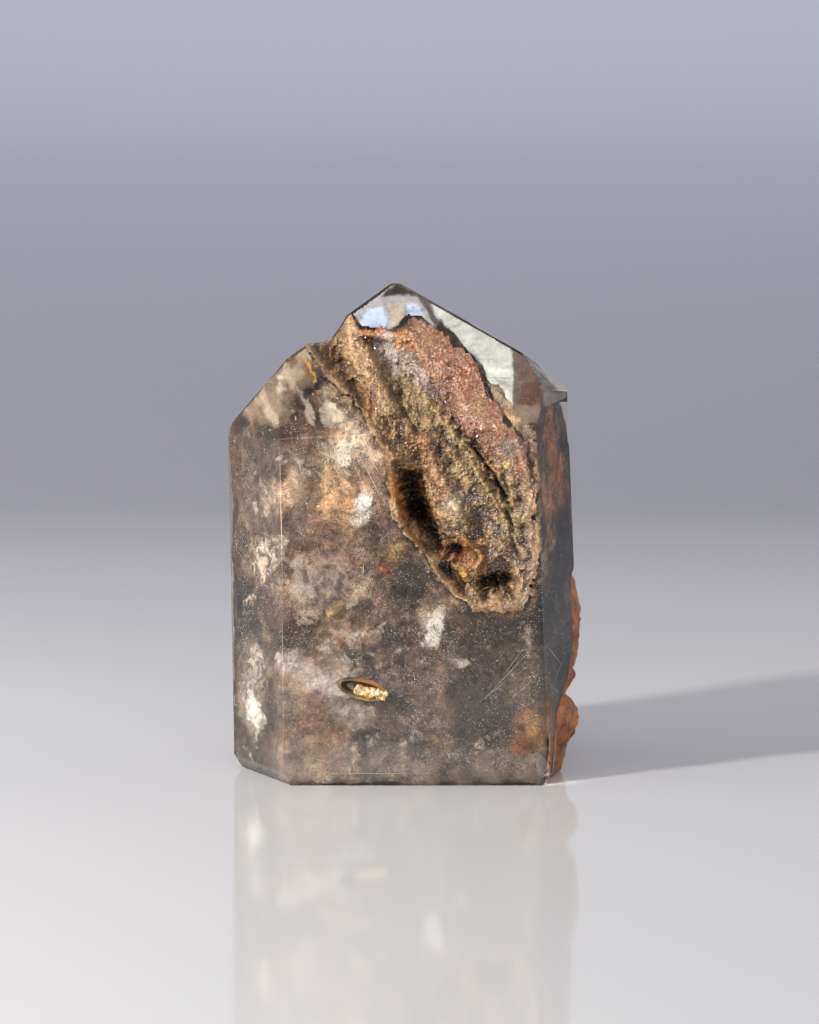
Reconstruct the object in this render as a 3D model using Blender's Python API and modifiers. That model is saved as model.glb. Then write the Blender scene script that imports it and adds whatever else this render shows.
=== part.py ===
# Garden quartz tower: a polished six-sided quartz point with a natural, crystal-lined hollow across its front.
# The front faces -Y, the tip points up along +Z, and the origin is the middle of the base's rectangle.
# Sizes are worked out in millimetres and turned into metres when a mesh is made.

import math

import bmesh
import bpy
import numpy as np
from mathutils import Matrix, Vector

MM = 0.001

# Driving dimensions, in mm
HALF_DEPTH = 18.0  # the front and back walls stand this far from the middle
ROUGH_BLOCK = (80.0, 60.0, 100.0)  # the block that the flat faces are cut from
BASE_BEVEL_HEIGHT = 2.2  # the polished bevel round the foot
BASE_BEVEL_LEAN = 30.0  # degrees, how far that bevel faces down
EDGE_SOFTENING = 0.22  # the worn edge between two polished faces

SOFTENED_ANGLE = 8.0  # degrees: flatter edges than this aren't softened
MERGE_DISTANCE = 0.02
QUARTZ_IOR = 1.544
SMOKY_QUARTZ = {"colour": (0.62, 0.57, 0.52), "roughness": 0.05, "transmission": 0.7}
DRUZY = {"colour": (0.55, 0.36, 0.25), "roughness": 0.45, "transmission": 0.0}

# Height fields over the faces: a plane counts when it faces the front or the right by more than this
FACES_FRONT = 0.05
FACES_RIGHT = 0.3
FAR = 60.0  # beyond every face
BEHIND_TIP = 25.0  # how far back the front surface is followed above the tip
OUTSIDE_LIFT = 1.4  # a cutter's surface clears the stone by this outside its rim
RIM_UNEVEN = (0.35, 3.0, 5)  # amount and size in mm, and the seed

# Polished faces: the way each looks in degrees (0 front, 90 right), how far it looks up, and a point on it
WALLS = {
    "front": (0.0, 0.0, (0.0, -HALF_DEPTH, 30.0)),
    "front_right": (66.7, 2.3, (22.4, -HALF_DEPTH, 30.0)),
    "back_right": (114.6, 2.3, (28.2, -4.5, 30.0)),
    "back": (180.0, 0.0, (0.0, HALF_DEPTH, 30.0)),
    "back_left": (-116.8, -0.5, (-28.3, -2.4, 30.0)),
    "front_left": (-60.6, -0.9, (-19.4, -HALF_DEPTH, 30.0)),
}
TIP = (-1.1, 0.0, 80.4)
CROWN = {
    "front_crown": (-2.4, 38.7, TIP),
    "front_left_crown": (-61.1, 24.9, (-20.0, -HALF_DEPTH, 56.6)),
    "back_left_crown": (-118.2, 43.9, (-18.4, -8.8, 69.2)),
    "back_crown": (180.0, 39.0, TIP),
    "back_right_crown": (115.5, 54.0, TIP),
    "front_right_crown": (73.6, 39.3, (26.8, -4.5, 62.9)),
    "worn_tip": (0.0, 90.0, (0.0, 0.0, 80.0)),
}

# The hollow in the front, as seen from the front: x and z of its rim
HOLLOW_RIM = [
    (-15.5, 71.0), (-14.0, 68.5), (-10.5, 65.0), (-7.5, 62.0), (-4.5, 58.5), (-2.5, 54.5), (-2.0, 50.5),
    (-1.5, 46.0), (0.0, 42.0), (2.5, 39.5), (4.5, 37.5), (6.0, 34.5), (8.5, 31.5), (11.5, 30.0), (16.0, 29.5),
    (19.0, 29.8), (20.6, 32.0), (21.2, 37.0), (21.2, 43.5), (21.0, 48.5), (20.2, 53.0), (19.2, 56.5),
    (17.0, 59.5), (14.5, 61.5), (13.5, 64.5), (11.0, 68.5), (7.5, 71.0), (4.5, 72.5), (3.0, 74.5),
    (1.0, 74.5), (-0.5, 73.0), (-2.0, 72.0), (-4.5, 72.5), (-7.0, 73.0), (-8.5, 75.0), (-12.0, 79.0),
    (-19.0, 79.0),
]
HOLLOW_DEPTH = 4.2
HOLLOW_AXIS = ((-9.0, 73.0), (17.0, 31.0))  # the hollow's middle line, from its top to its foot
HOLLOW_WALL = (1.1, 3.0)  # how far in from the rim the depth is reached: steep on the left, sloping on the right
HOLLOW_BOX = (-21.0, 24.0, 26.5, 81.0)  # lowest and highest x, then z, of the rectangle that holds the rim
HOLLOW_CELL = 0.95
HOLLOW_OUTER = -32.0  # y of the hollow cutter's outer side
HOLLOW_LEAST = 0.9  # the least depth, ridges included
HOLLOW_ROUGHNESS = (0.75, 4.6, 11)  # amount and size in mm, and the seed
HOLLOW_WALL_CHANGE = 10.0  # how far right of the middle line the wall has its right-hand slope
# Grooves (deeper) and ridges (shallower) in the hollow: start, end, half width, depth
HOLLOW_STROKES = [
    ((-13.4, 74.0), (-8.6, 63.5), 1.9, 3.6),
    ((-8.6, 63.5), (-3.0, 55.0), 1.4, 1.8),
    ((-9.0, 76.5), (-6.5, 68.0), 1.9, -2.6),
    ((-6.5, 68.0), (-2.5, 62.0), 1.8, -1.9),
    ((-2.5, 62.0), (3.0, 57.0), 1.8, -1.4),
    ((-4.0, 71.0), (-0.5, 63.0), 1.1, 1.3),
    ((-0.5, 63.0), (3.0, 58.5), 1.1, 1.2),
    ((-1.5, 69.5), (6.0, 63.0), 2.4, 1.1),
    ((-6.5, 72.0), (-2.0, 71.0), 1.1, 2.4),
    ((4.0, 71.5), (11.0, 63.0), 2.7, -1.7),
    ((11.0, 63.0), (17.0, 56.0), 2.7, -1.5),
    ((8.0, 65.5), (7.8, 60.0), 0.9, 1.4),
    ((8.5, 59.0), (12.5, 53.5), 0.9, 2.8),
    ((12.5, 53.5), (16.5, 47.0), 1.1, 3.6),
    ((16.5, 47.0), (19.3, 39.0), 0.9, 1.5),
    ((0.8, 49.5), (2.0, 44.0), 2.2, 6.5),
    ((2.0, 44.0), (4.6, 39.0), 1.8, 5.5),
    ((5.0, 55.0), (8.0, 44.5), 2.4, -1.8),
    ((8.0, 44.5), (11.0, 41.0), 2.0, -1.6),
    ((12.0, 51.0), (16.0, 41.5), 2.0, -1.5),
    ((16.0, 41.5), (18.5, 35.5), 1.6, -1.3),
    ((8.5, 38.4), (9.0, 38.0), 1.4, 4.2),
    ((13.8, 33.2), (16.4, 33.2), 1.5, 4.2),
    ((6.4, 36.0), (7.8, 34.6), 0.9, 2.2),
]

# The natural, unpolished skin low on the right side, as seen from the right: y and z of its rim
SKIN_RIM = [
    (-6.1, 33.0), (-6.2, 28.0), (-6.4, 21.5), (-8.9, 16.7), (-12.4, 12.8), (-14.0, 9.3), (-16.4, 0.0),
    (-16.4, -6.0), (12.5, -6.0), (13.0, 6.0), (11.0, 15.0), (12.0, 23.0), (8.0, 30.0), (2.0, 33.5),
    (-3.0, 34.5),
]
SKIN_DEPTH = 0.9
SKIN_WALL = 1.0
SKIN_BOX = (-18.0, 16.0, -4.0, 38.0)
SKIN_CELL = 1.3
SKIN_STROKES = [
    ((-10.0, 13.4), (-2.0, 12.9), 1.5, 2.1),
    ((-2.0, 12.9), (8.0, 14.5), 1.3, 1.6),
    ((-6.5, 30.0), (-6.9, 21.0), 0.8, 0.9),
    ((-9.4, 16.0), (-14.2, 9.0), 0.8, 0.9),
    ((-7.0, 9.2), (5.0, 8.6), 3.0, -1.3),
    ((3.0, 28.0), (9.0, 20.0), 2.0, 0.8),
]
FOOT_TAPER = (10.0, 2.8)  # below this height the skin curves in, by this much at the table
FOOT_TAPER_POWER = 1.5
FOOT_TAPER_LIMIT = 1.4
SKIN_OUTER = 40.0  # x of the skin cutter's outer side
SKIN_LEAST = 0.3
SKIN_ROUGHNESS = (0.6, 5.0, 29)

# A stained plate of older quartz grown on the skin, and natural dents: middle, half sizes, tilt, roughness
PLATE = ((26.3, -0.2, 24.0), (2.6, 6.9, 9.0), 0.0, 0.75)
DENTS = {
    "corner_scoop": ((23.6, -19.5, 6.0), (5.6, 2.7, 5.6), -12.0, 0.5),
    "left_nick": ((-29.7, -2.4, 29.8), (1.7, 3.4, 4.6), 8.0, 0.35),
    "ochre_pit": ((-6.5, -18.5, 16.2), (4.1, 2.7, 1.55), 14.0, 0.25),
}
LUMP_NOISE_SIZE = 3.0
LUMP_NOISE_START = 50.0  # moves the noise's whole-number places off the lump's middle
PLATE_SEED = 47
DENT_SEEDS = (61, 68, 75)

# The crust of small crystals that lines the hollow
CRUST_GAP = 0.3  # from the stone, so that the two solids stay apart
CRUST_THICKNESS = (0.25, 0.7)  # at the rim, and in the hollow
CRUST_INSET = 0.12  # how far inside the polished faces it stays
CRUST_DEPTHS = (0.5, 1.8)  # depths of the hollow between which it thickens
CRYSTAL_DEPTHS = (0.7, 2.4)  # and between which its points grow to their full height
CRYSTAL_SPACING = 2.4
CRYSTAL_HEIGHT = 1.1
CRYSTAL_LEAST = 0.45  # the smallest point's share of that height
CRYSTAL_SCATTER = (0.15, 0.7)  # a point stands this far into its cell, and up to this much further
CRYSTAL_SLOPE = 0.8
CRYSTAL_SEED = 3


def clear_scene():
    for obj in list(bpy.data.objects):
        bpy.data.objects.remove(obj, do_unlink=True)


def new_collection(name):
    made = bpy.data.collections.new(name)
    bpy.context.scene.collection.children.link(made)
    return made


def stone_material(name, colour, roughness, transmission):
    material = bpy.data.materials.new(name)
    material.use_nodes = True
    shader = material.node_tree.nodes["Principled BSDF"]
    shader.inputs["Base Color"].default_value = (*colour, 1.0)
    shader.inputs["Roughness"].default_value = roughness
    shader.inputs["Metallic"].default_value = 0.0
    shader.inputs["IOR"].default_value = QUARTZ_IOR
    shader.inputs["Transmission Weight"].default_value = transmission
    return material


def add_object(name, mesh, collection, cutter=False):
    obj = bpy.data.objects.new(name, mesh)
    collection.objects.link(obj)
    if cutter:
        obj.hide_render = True
        obj.display_type = "WIRE"
    return obj


# Value noise: repeatable numbers at whole-number places, blended smoothly between them


def lattice(i, j, k, seed):
    n = (i * 374761393 + j * 668265263 + k * 1440662683 + seed * 974634777) & 0xFFFFFFFF
    n = ((n ^ (n >> 13)) * 1274126177) & 0xFFFFFFFF
    return ((n ^ (n >> 16)) & 0xFFFF) / 65535.0


def value_noise(points, size, seed):
    """Values from -1 to 1 that vary over about one size, in mm."""
    scaled = points / size
    whole = np.floor(scaled)
    part = scaled - whole
    fade = part * part * (3.0 - 2.0 * part)
    corner = whole.astype(np.int64)
    total = np.zeros(len(points))
    for di in (0, 1):
        for dj in (0, 1):
            for dk in (0, 1):
                weight = (
                    np.where(di, fade[:, 0], 1 - fade[:, 0])
                    * np.where(dj, fade[:, 1], 1 - fade[:, 1])
                    * np.where(dk, fade[:, 2], 1 - fade[:, 2])
                )
                total += weight * lattice(corner[:, 0] + di, corner[:, 1] + dj, corner[:, 2] + dk, seed)
    return 2.0 * total - 1.0


def layered_noise(points, size, seed, layers=3):
    total = np.zeros(len(points))
    for layer in range(layers):
        total += 0.5**layer * value_noise(points, size / 2**layer, seed + layer)
    return total


def rim_distance(a, b, rim):
    """Distance from points to a closed outline, positive inside it and a little uneven, as a natural rim is."""
    nearest = np.full(len(a), 1e9)
    inside = np.zeros(len(a), bool)
    for (a0, b0), (a1, b1) in zip(rim, rim[1:] + rim[:1]):
        da, db = a1 - a0, b1 - b0
        along = np.clip(((a - a0) * da + (b - b0) * db) / (da * da + db * db), 0, 1)
        nearest = np.minimum(nearest, np.hypot(a - a0 - along * da, b - b0 - along * db))
        if b0 != b1:
            crosses = (b0 > b) != (b1 > b)
            inside ^= crosses & (a < a0 + (b - b0) * da / db)
    amount, size, seed = RIM_UNEVEN
    uneven = amount * value_noise(np.column_stack([a, b, np.zeros(len(a))]), size, seed)
    return np.where(inside, nearest, -nearest) + uneven


def dug_depth(inside, wall, relief):
    """Depth below the polished surface: it slopes down from the rim, and is just as steep a way outside it."""
    dug = (1.0 - np.exp(-np.maximum(inside, 0.0) / wall)) * relief
    return np.where(inside > 0, dug, np.maximum(inside * relief / wall, -OUTSIDE_LIFT))


def stroke_relief(a, b, strokes):
    """The sum of rounded grooves and ridges, each along a straight stroke."""
    total = np.zeros(len(a))
    for (a0, b0), (a1, b1), half_width, depth in strokes:
        da, db = a1 - a0, b1 - b0
        along = np.clip(((a - a0) * da + (b - b0) * db) / (da * da + db * db), 0, 1)
        away = np.hypot(a - a0 - along * da, b - b0 - along * db)
        total += depth * np.exp(-((away / half_width) ** 2))
    return total


# The polished form


def outward(azimuth, lean):
    turn, rise = math.radians(azimuth), math.radians(lean)
    return Vector((math.sin(turn) * math.cos(rise), -math.cos(turn) * math.cos(rise), math.sin(rise)))


def face_planes():
    """Every polished plane, foot bevels included, as (outward direction, point in mm)."""
    planes = [(outward(azimuth, lean), Vector(point)) for azimuth, lean, point in (*WALLS.values(), *CROWN.values())]
    for azimuth, lean, point in WALLS.values():
        normal = outward(azimuth, lean)
        level = outward(azimuth, 0.0)
        drop = point[2] - BASE_BEVEL_HEIGHT
        on_wall = Vector(point) + level * (normal.z / normal.dot(level)) * drop - Vector((0, 0, drop))
        planes.append((outward(azimuth, -BASE_BEVEL_LEAN), on_wall))
    return planes


def surface_from_front(x, z):
    """y of the polished surface that faces the front, at x and z."""
    front = np.full(len(x), -FAR)
    for normal, point in face_planes():
        if normal.y < -FACES_FRONT:
            reach = normal.dot(point)
            front = np.maximum(front, (reach - normal.x * x - normal.z * z) / normal.y)
    return np.minimum(front, BEHIND_TIP)


def surface_from_right(y, z):
    """x of the polished surface that faces the right, at y and z."""
    right = np.full(len(y), FAR)
    for normal, point in face_planes():
        if normal.x > FACES_RIGHT:
            reach = normal.dot(point)
            right = np.minimum(right, (reach - normal.y * y - normal.z * z) / normal.x)
    return right


def polished_mesh(name, inset=0.0):
    """The block with each face ground flat, one plane after another."""
    bm = bmesh.new()
    bmesh.ops.create_cube(bm, size=1.0, matrix=Matrix.Diagonal((*ROUGH_BLOCK, 1.0)))
    bmesh.ops.translate(bm, vec=(0.0, 0.0, ROUGH_BLOCK[2] / 2 + inset), verts=bm.verts)
    for normal, point in face_planes():
        cut = bmesh.ops.bisect_plane(
            bm,
            geom=bm.verts[:] + bm.edges[:] + bm.faces[:],
            plane_co=point - normal * inset,
            plane_no=normal,
            clear_outer=True,
        )
        rim = [part for part in cut["geom_cut"] if isinstance(part, bmesh.types.BMEdge)]
        if rim:
            bmesh.ops.contextual_create(bm, geom=rim)
    bmesh.ops.remove_doubles(bm, verts=bm.verts, dist=MERGE_DISTANCE)
    bmesh.ops.dissolve_degenerate(bm, dist=MERGE_DISTANCE, edges=bm.edges)
    bmesh.ops.recalc_face_normals(bm, faces=bm.faces)
    bmesh.ops.scale(bm, vec=(MM, MM, MM), verts=bm.verts)
    mesh = bpy.data.meshes.new(name)
    bm.to_mesh(mesh)
    bm.free()
    return mesh


# The hollow, the skin and the dents


def hollow_floor(x, z):
    """y of the hollow's floor. Outside the rim it stays in front of the stone, so that nothing is cut."""
    inside = rim_distance(x, z, HOLLOW_RIM)
    places = np.column_stack([x, np.zeros(len(x)), z])
    (top_x, top_z), (foot_x, foot_z) = HOLLOW_AXIS
    beside = x - np.interp(z, (foot_z, top_z), (foot_x, top_x))
    wall = np.interp(beside, (0.0, HOLLOW_WALL_CHANGE), HOLLOW_WALL)
    amount, size, seed = HOLLOW_ROUGHNESS
    relief = HOLLOW_DEPTH + stroke_relief(x, z, HOLLOW_STROKES) + amount * layered_noise(places, size, seed)
    return surface_from_front(x, z) + dug_depth(inside, wall, np.maximum(relief, HOLLOW_LEAST))


def skin_floor(y, z):
    """x of the natural skin on the right side. Outside its rim it stays clear of the stone."""
    inside = rim_distance(y, z, SKIN_RIM)
    places = np.column_stack([np.zeros(len(y)), y, z])
    height, taper = FOOT_TAPER
    lean = taper * np.clip(1.0 - z / height, 0.0, FOOT_TAPER_LIMIT) ** FOOT_TAPER_POWER
    amount, size, seed = SKIN_ROUGHNESS
    relief = SKIN_DEPTH + lean + stroke_relief(y, z, SKIN_STROKES) + amount * layered_noise(places, size, seed)
    return surface_from_right(y, z) - dug_depth(inside, SKIN_WALL, np.maximum(relief, SKIN_LEAST))


def druzy_height(x, z):
    """Small six-sided points, side by side: at each place, the highest of the pyramids whose middles are near."""
    column = np.floor(x / CRYSTAL_SPACING).astype(np.int64)
    row = np.floor(z / CRYSTAL_SPACING).astype(np.int64)
    start, spread = CRYSTAL_SCATTER
    highest = np.zeros(len(x))
    for di in (-1, 0, 1):
        for dj in (-1, 0, 1):
            i, j = column + di, row + dj
            middle_x = (i + start + spread * lattice(i, j, 0, CRYSTAL_SEED)) * CRYSTAL_SPACING
            middle_z = (j + start + spread * lattice(i, j, 1, CRYSTAL_SEED)) * CRYSTAL_SPACING
            turn = lattice(i, j, 2, CRYSTAL_SEED) * math.pi / 3
            size = CRYSTAL_HEIGHT * (CRYSTAL_LEAST + (1.0 - CRYSTAL_LEAST) * lattice(i, j, 3, CRYSTAL_SEED))
            widest = np.zeros(len(x))
            for side in range(3):
                angle = turn + side * math.pi / 3
                across = (x - middle_x) * np.cos(angle) + (z - middle_z) * np.sin(angle)
                widest = np.maximum(widest, np.abs(across))
            highest = np.maximum(highest, size - CRYSTAL_SLOPE * widest)
    return highest


def height_slab(name, box, cell, place, near, far):
    """A closed slab over a rectangle, between two height fields. place turns (a, b, height) into x, y and z."""
    low_a, high_a, low_b, high_b = box
    bm = bmesh.new()
    bmesh.ops.create_grid(
        bm,
        x_segments=round((high_a - low_a) / cell),
        y_segments=round((high_b - low_b) / cell),
        size=0.5,
    )
    bmesh.ops.triangulate(bm, faces=bm.faces[:], quad_method="FIXED")
    share = np.array([vert.co[:2] for vert in bm.verts]) + 0.5
    a = low_a + share[:, 0] * (high_a - low_a)
    b = low_b + share[:, 1] * (high_b - low_b)
    near_points = place(a, b, near(a, b)) * MM
    far_points = place(a, b, far(a, b)) * MM
    lower = bm.verts[:]
    made = bmesh.ops.duplicate(bm, geom=bm.verts[:] + bm.edges[:] + bm.faces[:])
    upper = [made["vert_map"][vert] for vert in lower]
    for vert, point in zip(lower, near_points):
        vert.co = point
    for vert, point in zip(upper, far_points):
        vert.co = point
    bmesh.ops.bridge_loops(bm, edges=[edge for edge in bm.edges if edge.is_boundary])
    bmesh.ops.recalc_face_normals(bm, faces=bm.faces)
    mesh = bpy.data.meshes.new(name)
    bm.to_mesh(mesh)
    bm.free()
    return mesh


def lump_mesh(name, middle, half_sizes, tilt, roughness, seed):
    """A rounded natural lump: a sphere stretched, roughened and turned about Y."""
    bm = bmesh.new()
    bmesh.ops.create_icosphere(bm, subdivisions=3, radius=1.0)
    around = np.array([vert.co[:] for vert in bm.verts])
    points = around * np.array(half_sizes)
    points += around * (roughness * layered_noise(points + LUMP_NOISE_START, LUMP_NOISE_SIZE, seed))[:, None]
    turn = np.array(Matrix.Rotation(math.radians(tilt), 3, "Y"))
    points = points @ turn.T + np.array(middle)
    for vert, point in zip(bm.verts, points * MM):
        vert.co = point
    mesh = bpy.data.meshes.new(name)
    bm.to_mesh(mesh)
    bm.free()
    return mesh


def from_front(x, z, y):
    return np.column_stack([x, y, z])


def from_right(y, z, x):
    return np.column_stack([x, y, z])


def add_boolean(obj, other, operation):
    modifier = obj.modifiers.new(f"{operation.lower()} {other.name}", "BOOLEAN")
    modifier.operation = operation
    modifier.solver = "EXACT"
    modifier.object = other


def quartz_tower(parts, cutters):
    tower = add_object("quartz_tower", polished_mesh("quartz_tower"), parts)
    tower.data.materials.append(stone_material("smoky_quartz", **SMOKY_QUARTZ))
    soft = tower.modifiers.new("worn edges", "BEVEL")
    soft.width = EDGE_SOFTENING * MM
    soft.segments = 1
    soft.limit_method = "ANGLE"
    soft.angle_limit = math.radians(SOFTENED_ANGLE)

    hollow = height_slab(
        "hollow", HOLLOW_BOX, HOLLOW_CELL, from_front, hollow_floor, lambda x, z: np.full(len(x), HOLLOW_OUTER)
    )
    add_boolean(tower, add_object("hollow", hollow, cutters, cutter=True), "DIFFERENCE")

    skin = height_slab("skin", SKIN_BOX, SKIN_CELL, from_right, skin_floor, lambda y, z: np.full(len(y), SKIN_OUTER))
    add_boolean(tower, add_object("skin", skin, cutters, cutter=True), "DIFFERENCE")

    plate = lump_mesh("plate", *PLATE, seed=PLATE_SEED)
    add_boolean(tower, add_object("plate", plate, cutters, cutter=True), "UNION")

    for (name, dent), seed in zip(DENTS.items(), DENT_SEEDS):
        mesh = lump_mesh(name, *dent, seed=seed)
        add_boolean(tower, add_object(name, mesh, cutters, cutter=True), "DIFFERENCE")
    return tower


def druzy_crust(parts, cutters):
    """A thin shell over the hollow's floor with crystals on its front, trimmed where the polished faces begin."""

    def back(x, z):
        return hollow_floor(x, z) - CRUST_GAP

    def front(x, z):
        depth = hollow_floor(x, z) - surface_from_front(x, z)
        thickness = np.interp(depth, CRUST_DEPTHS, CRUST_THICKNESS)
        return back(x, z) - thickness - np.interp(depth, CRYSTAL_DEPTHS, (0.0, 1.0)) * druzy_height(x, z)

    mesh = height_slab("druzy_crust", HOLLOW_BOX, HOLLOW_CELL, from_front, front, back)
    crust = add_object("druzy_crust", mesh, parts)
    crust.data.materials.append(stone_material("druzy", **DRUZY))
    envelope = add_object("envelope", polished_mesh("envelope", CRUST_INSET), cutters, cutter=True)
    add_boolean(crust, envelope, "INTERSECT")
    return crust


def main():
    clear_scene()
    parts = new_collection("garden_quartz_tower")
    cutters = new_collection("cutters")
    quartz_tower(parts, cutters)
    druzy_crust(parts, cutters)


main()
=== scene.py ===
# Looks for the garden quartz tower: clear smoky quartz round a garden of mineral inclusions,
# a sugary druzy hollow across the front, and a rusty natural skin low on the right.
# The frame is in metres. The shapes below are worked out in mm and scaled when a mesh is made.
import math

import bpy
import numpy as np
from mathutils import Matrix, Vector


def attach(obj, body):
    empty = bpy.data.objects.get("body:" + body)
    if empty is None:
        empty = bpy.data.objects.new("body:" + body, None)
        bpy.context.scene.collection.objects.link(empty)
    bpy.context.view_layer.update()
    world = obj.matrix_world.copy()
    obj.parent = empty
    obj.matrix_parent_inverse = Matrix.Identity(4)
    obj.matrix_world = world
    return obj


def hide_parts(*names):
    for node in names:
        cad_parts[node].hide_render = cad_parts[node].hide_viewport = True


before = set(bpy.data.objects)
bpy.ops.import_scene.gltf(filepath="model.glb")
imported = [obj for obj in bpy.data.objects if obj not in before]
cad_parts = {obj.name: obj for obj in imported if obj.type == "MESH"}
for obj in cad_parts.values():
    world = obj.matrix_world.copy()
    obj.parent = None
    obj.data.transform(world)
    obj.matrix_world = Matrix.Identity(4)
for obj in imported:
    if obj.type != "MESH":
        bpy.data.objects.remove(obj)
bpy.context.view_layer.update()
mm = 0.001

# The polished faces and the hollow, as the part has them

stone = {
    "halfDepth": 18.0,
    "shoulder": 57.6,  # about where the front walls meet the crown
    "walls": [  # way it looks (0 front, 90 right), how far up it looks, a point on it
        (0.0, 0.0, (0.0, -18.0, 30.0)),
        (66.7, 2.3, (22.4, -18.0, 30.0)),
        (114.6, 2.3, (28.2, -4.5, 30.0)),
        (180.0, 0.0, (0.0, 18.0, 30.0)),
        (-116.8, -0.5, (-28.3, -2.4, 30.0)),
        (-60.6, -0.9, (-19.4, -18.0, 30.0)),
    ],
    "crown": [
        (-2.4, 38.7, (-1.1, 0.0, 80.4)),
        (-61.1, 24.9, (-20.0, -18.0, 56.6)),
        (-118.2, 43.9, (-18.4, -8.8, 69.2)),
        (180.0, 39.0, (-1.1, 0.0, 80.4)),
        (115.5, 54.0, (-1.1, 0.0, 80.4)),
        (73.6, 39.3, (26.8, -4.5, 62.9)),
    ],
}
hollow = {
    "rim": [
        (-15.5, 71), (-14, 68.5), (-10.5, 65), (-7.5, 62), (-4.5, 58.5), (-2.5, 54.5), (-2, 50.5),
        (-1.5, 46), (0, 42), (2.5, 39.5), (4.5, 37.5), (6, 34.5), (8.5, 31.5), (11.5, 30), (16, 29.5),
        (19, 29.8), (20.6, 32), (21.2, 37), (21.2, 43.5), (21, 48.5), (20.2, 53), (19.2, 56.5),
        (17, 59.5), (14.5, 61.5), (13.5, 64.5), (11, 68.5), (7.5, 71), (4.5, 72.5), (3, 74.5),
        (1, 74.5), (-0.5, 73), (-2, 72), (-4.5, 72.5), (-7, 73), (-8.5, 75), (-12, 79),
        (-19, 79),
    ],
    "depth": 4.2,
    "axis": ((-9.0, 73.0), (17.0, 31.0)),
    "wall": (1.1, 3.0),
    "box": (-21.0, 24.0, 26.5, 81.0),
    "strokes": [  # start, end, half width, depth
        (-13.4, 74, -8.6, 63.5, 1.9, 3.6), (-8.6, 63.5, -3, 55, 1.4, 1.8),
        (-9, 76.5, -6.5, 68, 1.9, -2.6), (-6.5, 68, -2.5, 62, 1.8, -1.9), (-2.5, 62, 3, 57, 1.8, -1.4),
        (-4, 71, -0.5, 63, 1.1, 1.3), (-0.5, 63, 3, 58.5, 1.1, 1.2), (-1.5, 69.5, 6, 63, 2.4, 1.1),
        (-6.5, 72, -2, 71, 1.1, 2.4), (4, 71.5, 11, 63, 2.7, -1.7), (11, 63, 17, 56, 2.7, -1.5),
        (8, 65.5, 7.8, 60, 0.9, 1.4), (8.5, 59, 12.5, 53.5, 0.9, 2.8), (12.5, 53.5, 16.5, 47, 1.1, 3.6),
        (16.5, 47, 19.3, 39, 0.9, 1.5), (0.8, 49.5, 2, 44, 2.2, 6.5), (2, 44, 4.6, 39, 1.8, 5.5),
        (5, 55, 8, 44.5, 2.4, -1.8), (8, 44.5, 11, 41, 2, -1.6), (12, 51, 16, 41.5, 2, -1.5),
        (16, 41.5, 18.5, 35.5, 1.6, -1.3), (8.5, 38.4, 9, 38, 1.4, 4.2),
        (13.8, 33.2, 16.4, 33.2, 1.5, 4.2), (6.4, 36, 7.8, 34.6, 0.9, 2.2),
    ],
}
skin = {
    "rim": [
        (-6.1, 33), (-6.2, 28), (-6.4, 21.5), (-8.9, 16.7), (-12.4, 12.8), (-14, 9.3), (-16.4, 0),
        (-16.4, -6), (12.5, -6), (13, 6), (11, 15), (12, 23), (8, 30), (2, 33.5),
        (-3, 34.5),
    ],
    "depth": 0.9,
    "wall": 1.0,
    "box": (-18.0, 16.0, -4.0, 38.0),
    "cell": 1.3,
    "fineCell": 0.3,
    "thickness": 0.35,
    "strokes": [  # as above
        (-10, 13.4, -2, 12.9, 1.5, 2.1), (-2, 12.9, 8, 14.5, 1.3, 1.6), (-6.5, 30, -6.9, 21, 0.8, 0.9),
        (-9.4, 16, -14.2, 9, 0.8, 0.9), (-7, 9.2, 5, 8.6, 3, -1.3), (3, 28, 9, 20, 2, 0.8),
    ],
    "taper": (10.0, 2.8),
    "plate": ((26.3, -0.2, 24.0), (2.6, 6.9, 9.0)),
}


def cornerValue(i, j, k, seed):  # a repeatable number from 0 to 1 for each whole-number place
    n = (i * 374761393 + j * 668265263 + k * 1440662683 + seed * 974634777) & 0xFFFFFFFF
    n = ((n ^ (n >> 13)) * 1274126177) & 0xFFFFFFFF
    return ((n ^ (n >> 16)) & 0xFFFF) / 65535.0


def smoothNoise(points, size, seed):  # corner values blended by 3t^2 - 2t^3 along each axis, from -1 to 1
    scaled = points / size
    whole = np.floor(scaled)
    part = scaled - whole
    fade = part * part * (3.0 - 2.0 * part)
    total = np.zeros(len(points))
    for corner in np.ndindex(2, 2, 2):
        i, j, k = (whole.astype(np.int64) + corner).T
        weight = np.where(corner, fade, 1 - fade)
        total += weight[:, 0] * weight[:, 1] * weight[:, 2] * cornerValue(i, j, k, seed)
    return 2.0 * total - 1.0


def layeredNoise(points, size, seed, layers=3):  # each layer is half as strong and half as wide as the last
    return sum(0.5**n * smoothNoise(points, size / 2**n, seed + n) for n in range(layers))


def strokeDistance(a, b, a0, b0, a1, b1):  # from each place to the nearest point of one straight stroke
    da, db = a1 - a0, b1 - b0
    along = np.clip(((a - a0) * da + (b - b0) * db) / (da * da + db * db), 0, 1)
    return np.hypot(a - a0 - along * da, b - b0 - along * db)


def rimDistance(a, b, rim):  # distance to an outline, positive inside, made a little uneven
    nearest = np.full(len(a), 1e9)
    inside = np.zeros(len(a), bool)
    for (a0, b0), (a1, b1) in zip(rim, rim[1:] + rim[:1]):
        nearest = np.minimum(nearest, strokeDistance(a, b, a0, b0, a1, b1))
        if b0 != b1:
            inside ^= ((b0 > b) != (b1 > b)) & (a < a0 + (b - b0) * (a1 - a0) / (b1 - b0))
    uneven = 0.35 * smoothNoise(np.column_stack([a, b, np.zeros(len(a))]), 3.0, 5)
    return np.where(inside, nearest, -nearest) + uneven


def strokeRelief(a, b, strokes):  # the sum of depth * exp(-(distance to the stroke / half width)^2)
    total = np.zeros(len(a))
    for a0, b0, a1, b1, halfWidth, depth in strokes:
        total += depth * np.exp(-((strokeDistance(a, b, a0, b0, a1, b1) / halfWidth) ** 2))
    return total


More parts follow.
